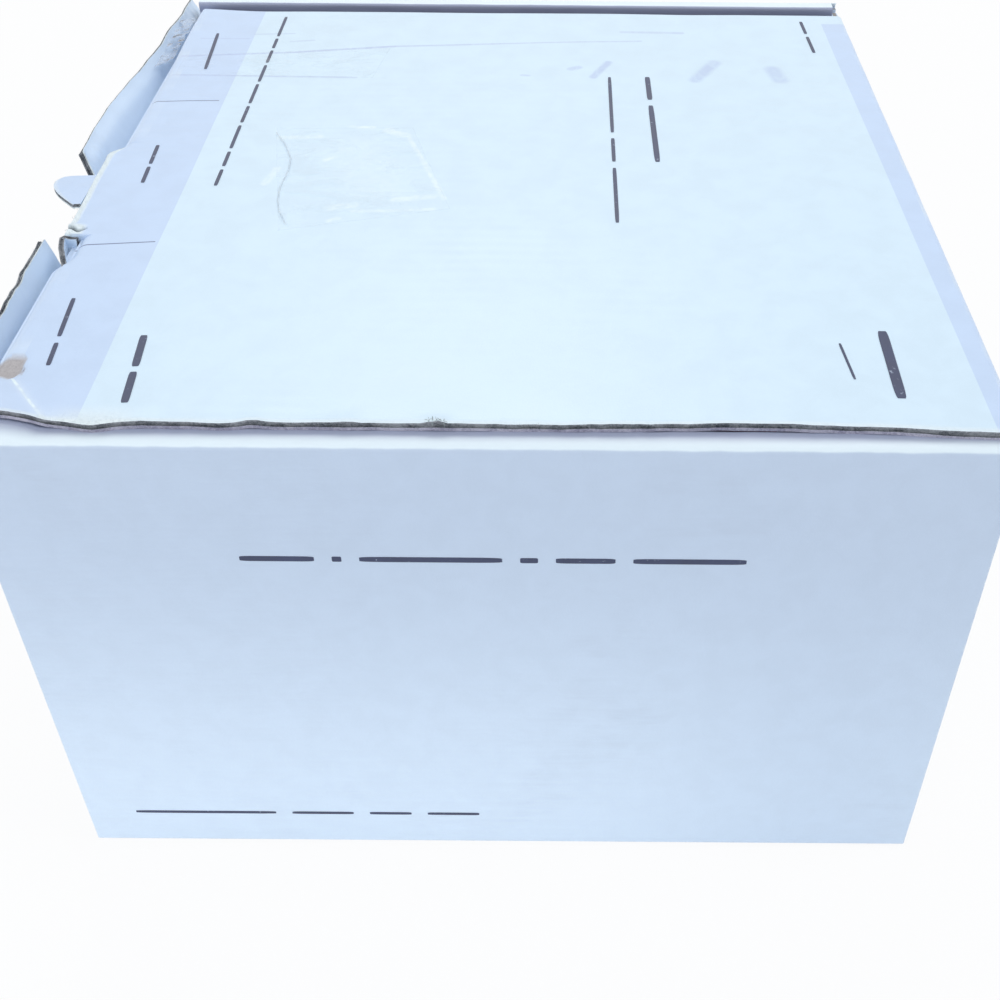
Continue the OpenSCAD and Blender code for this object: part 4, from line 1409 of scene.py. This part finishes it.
dent_path = [(LID_RIGHT - 0.35, -8.0 + 0.3 * k, LID_TOP + 0.5 - 0.09 * abs(k)) for k in range(-5, 6)]
edge_path = [(LID_RIGHT + edge_reach(y) - 0.1, y, LID_TOP - 0.5 + lid_rise(LID_RIGHT, y))
             for y in np.arange(-80.0, 82.0, 2.0)]
ledge_path = [(x, front_edge(x), LID_TOP - 0.7) for x in np.arange(-7.0, 30.0, 1.0)]
lip_path = [tuple(np.array(line[-1]) + np.array(n[-1]) * 0.75) for line, n in zip(right_outer, right_inward)]
dent_fibres = fibres("dent_fibres", dent_path, raw_pale, 40, 4, 0.0008)
edge_fibres = fibres("edge_fibres", edge_path, raw_core, 90, 9, 0.0006)
ledge_fibres = fibres("ledge_fibres", ledge_path, torn_edge, 90, 13, 0.0006)
lip_fibres = fibres("lip_fibres", lip_path, torn_edge, 70, 21, 0.0006)
for tuft in (dent_fibres, edge_fibres, ledge_fibres):
    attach(aside(tuft), "lid")

for piece in (lip_left, lip_right, lip_left_flutes, lip_right_flutes, lip_fibres, tape_crumple_piece):
    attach(aside(piece), "carton")
for piece in (side_cover_left, side_cover_right, side_print):
    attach(piece, "carton")

hinge_crease = aside(make_hinge_crease())
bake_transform(hinge_crease)
tuck_crease = aside(make_tuck_crease())
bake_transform(tuck_crease)

# Finishes of the CAD's own nodes

LEAN = math.radians(TUCK_LEAN)
TUCK_OUT = (0.0, -math.cos(LEAN), -math.sin(LEAN))
TUCK_FACE = (-FOLD_Y * math.cos(LEAN) - LID_TOP * math.sin(LEAN)) * MM


def board_node(node, direction, face, across, colour, low=-1.0, high=1.0):
    """White-lined or grey board, with its raw middle shown between the heights low and high."""
    core = {"Direction": direction, "Face": face, "Low": low, "High": high}
    dress(node, liner_finish(f"board_{node}", colour, across, core))


def dress(node, material):
    nodes[node].data.materials.clear()
    nodes[node].data.materials.append(material)


for side, direction, roll_high in (("right", RIGHT, 0.1046), ("left", LEFT, 0.1064)):
    board_node(f"side_panel_{side}", direction, HALF_W * MM, UP, SIDE_WHITE, 0.0016)
    board_node(f"roll_over_{side}", direction, (INSIDE_X + BOARD_T) * MM, UP, SIDE_WHITE, 0.0016, roll_high)
    for end in ("front", "back"):
        board_node(f"corner_flap_{end}_{side}", direction, (HALF_W - BOARD_T) * MM, BACK, INNER_GREY)
board_node("front_panel", FRONT, HALF_D * MM, RIGHT, SIDE_WHITE, 0.0016)
board_node("back_panel", BACK, HALF_D * MM, RIGHT, SIDE_WHITE, 0.0016)
board_node("tuck_flap", TUCK_OUT, TUCK_FACE, RIGHT, SIDE_WHITE, high=0.1045)
board_node("bottom_panel", (0.0, 0.0, -1.0), 0.0, RIGHT, INNER_GREY)

FRAME_COLOURS = {
    "black": srgb(34, 35, 39), "brown": srgb(92, 56, 34), "blue": srgb(28, 82, 178), "purple": srgb(98, 50, 152),
    "red": srgb(176, 28, 36),
}
for colour, paint in FRAME_COLOURS.items():
    plastic = plastic_finish(f"{colour}_polycarbonate", paint)
    for copy in (1, 2):
        dress(f"frame_{colour}_{copy}", plastic)
        dress(f"lens_{colour}_{copy}", lens_sheet)

# Floor, world, lamps

floor_mesh = bpy.data.meshes.new("floor")
floor_mesh.from_pydata([(-4, -4, -0.0001), (4, -4, -0.0001), (4, 4, -0.0001), (-4, 4, -0.0001)], [], [(0, 1, 2, 3)])
floor_mesh.materials.append(floor_finish())
floor = placed("floor", floor_mesh)

world = bpy.data.worlds.new("studio")
bpy.context.scene.world = world
world.use_nodes = True
world.node_tree.nodes.clear()
w = Wiring(world.node_tree)
soft = w.node("ShaderNodeBackground", Color=(0.86, 0.92, 1.0, 1.0), Strength=0.62)
white = w.node("ShaderNodeBackground", Color=(1.0, 1.0, 1.0, 1.0), Strength=1.0)
mix = w.node("ShaderNodeMixShader", Fac=w.seen_directly())
w.feed(mix.inputs[1], soft.outputs[0])
w.feed(mix.inputs[2], white.outputs[0])
w.feed(w.node("ShaderNodeOutputWorld").inputs["Surface"], mix.outputs[0])


def lamp(name, place, aim, size, power, colour):
    light = bpy.data.lights.new(name, "AREA")
    light.shape = "DISK"
    light.size = size
    light.energy = power
    light.color = colour
    holder = placed(name, light)
    holder.location = place
    holder.rotation_mode = "QUATERNION"
    holder.rotation_quaternion = (Vector(aim) - Vector(place)).to_track_quat("-Z", "Y")
    holder.visible_camera = False


lamp("top_softbox", (-0.95, -0.1, 1.25), (0.0, 0.0, 0.05), 0.6, 4.8, (1.0, 0.99, 0.97))
lamp("side_fill", (0.85, -0.5, 0.38), (0.0, 0.0, 0.05), 0.7, 2.3, (0.93, 0.96, 1.0))
lamp("back_fill", (0.1, 0.6, 1.2), (0.0, -0.08, 0.1), 0.6, 3.3, (0.97, 0.98, 1.0))

# Camera: place and turn found from the carton's corners in the photograph

AZIMUTH, ELEVATION, ROLL = (math.radians(a) for a in (89.84, 40.766, 0.564))
FOCAL_PX, CENTRE_PX, PICTURE_PX, SENSOR_W = 1286.317, (558.701, 498.713), 1000, 36.0
CAMERA_AT = Vector((0.25077, 0.01083, 0.23053))
back = Vector((
    math.sin(AZIMUTH) * math.cos(ELEVATION), -math.cos(AZIMUTH) * math.cos(ELEVATION), math.sin(ELEVATION)))
level = Vector((math.cos(AZIMUTH), math.sin(AZIMUTH), 0.0))
upright = back.cross(level)
across = level * math.cos(ROLL) + upright * math.sin(ROLL)
upward = upright * math.cos(ROLL) - level * math.sin(ROLL)
camera_data = bpy.data.cameras.new("camera")
camera_data.sensor_width = SENSOR_W
camera_data.lens = FOCAL_PX * SENSOR_W / PICTURE_PX
camera_data.shift_x = (PICTURE_PX / 2 - CENTRE_PX[0]) / PICTURE_PX
camera_data.shift_y = (CENTRE_PX[1] - PICTURE_PX / 2) / PICTURE_PX
camera_data.clip_start, camera_data.clip_end = 0.01, 20.0
camera = placed("camera", camera_data)
turn = Matrix((across, upward, back)).transposed()
camera.matrix_world = Matrix.Translation(CAMERA_AT) @ turn.to_4x4()
bpy.context.scene.camera = camera
bpy.context.scene.view_settings.view_transform = "Standard"
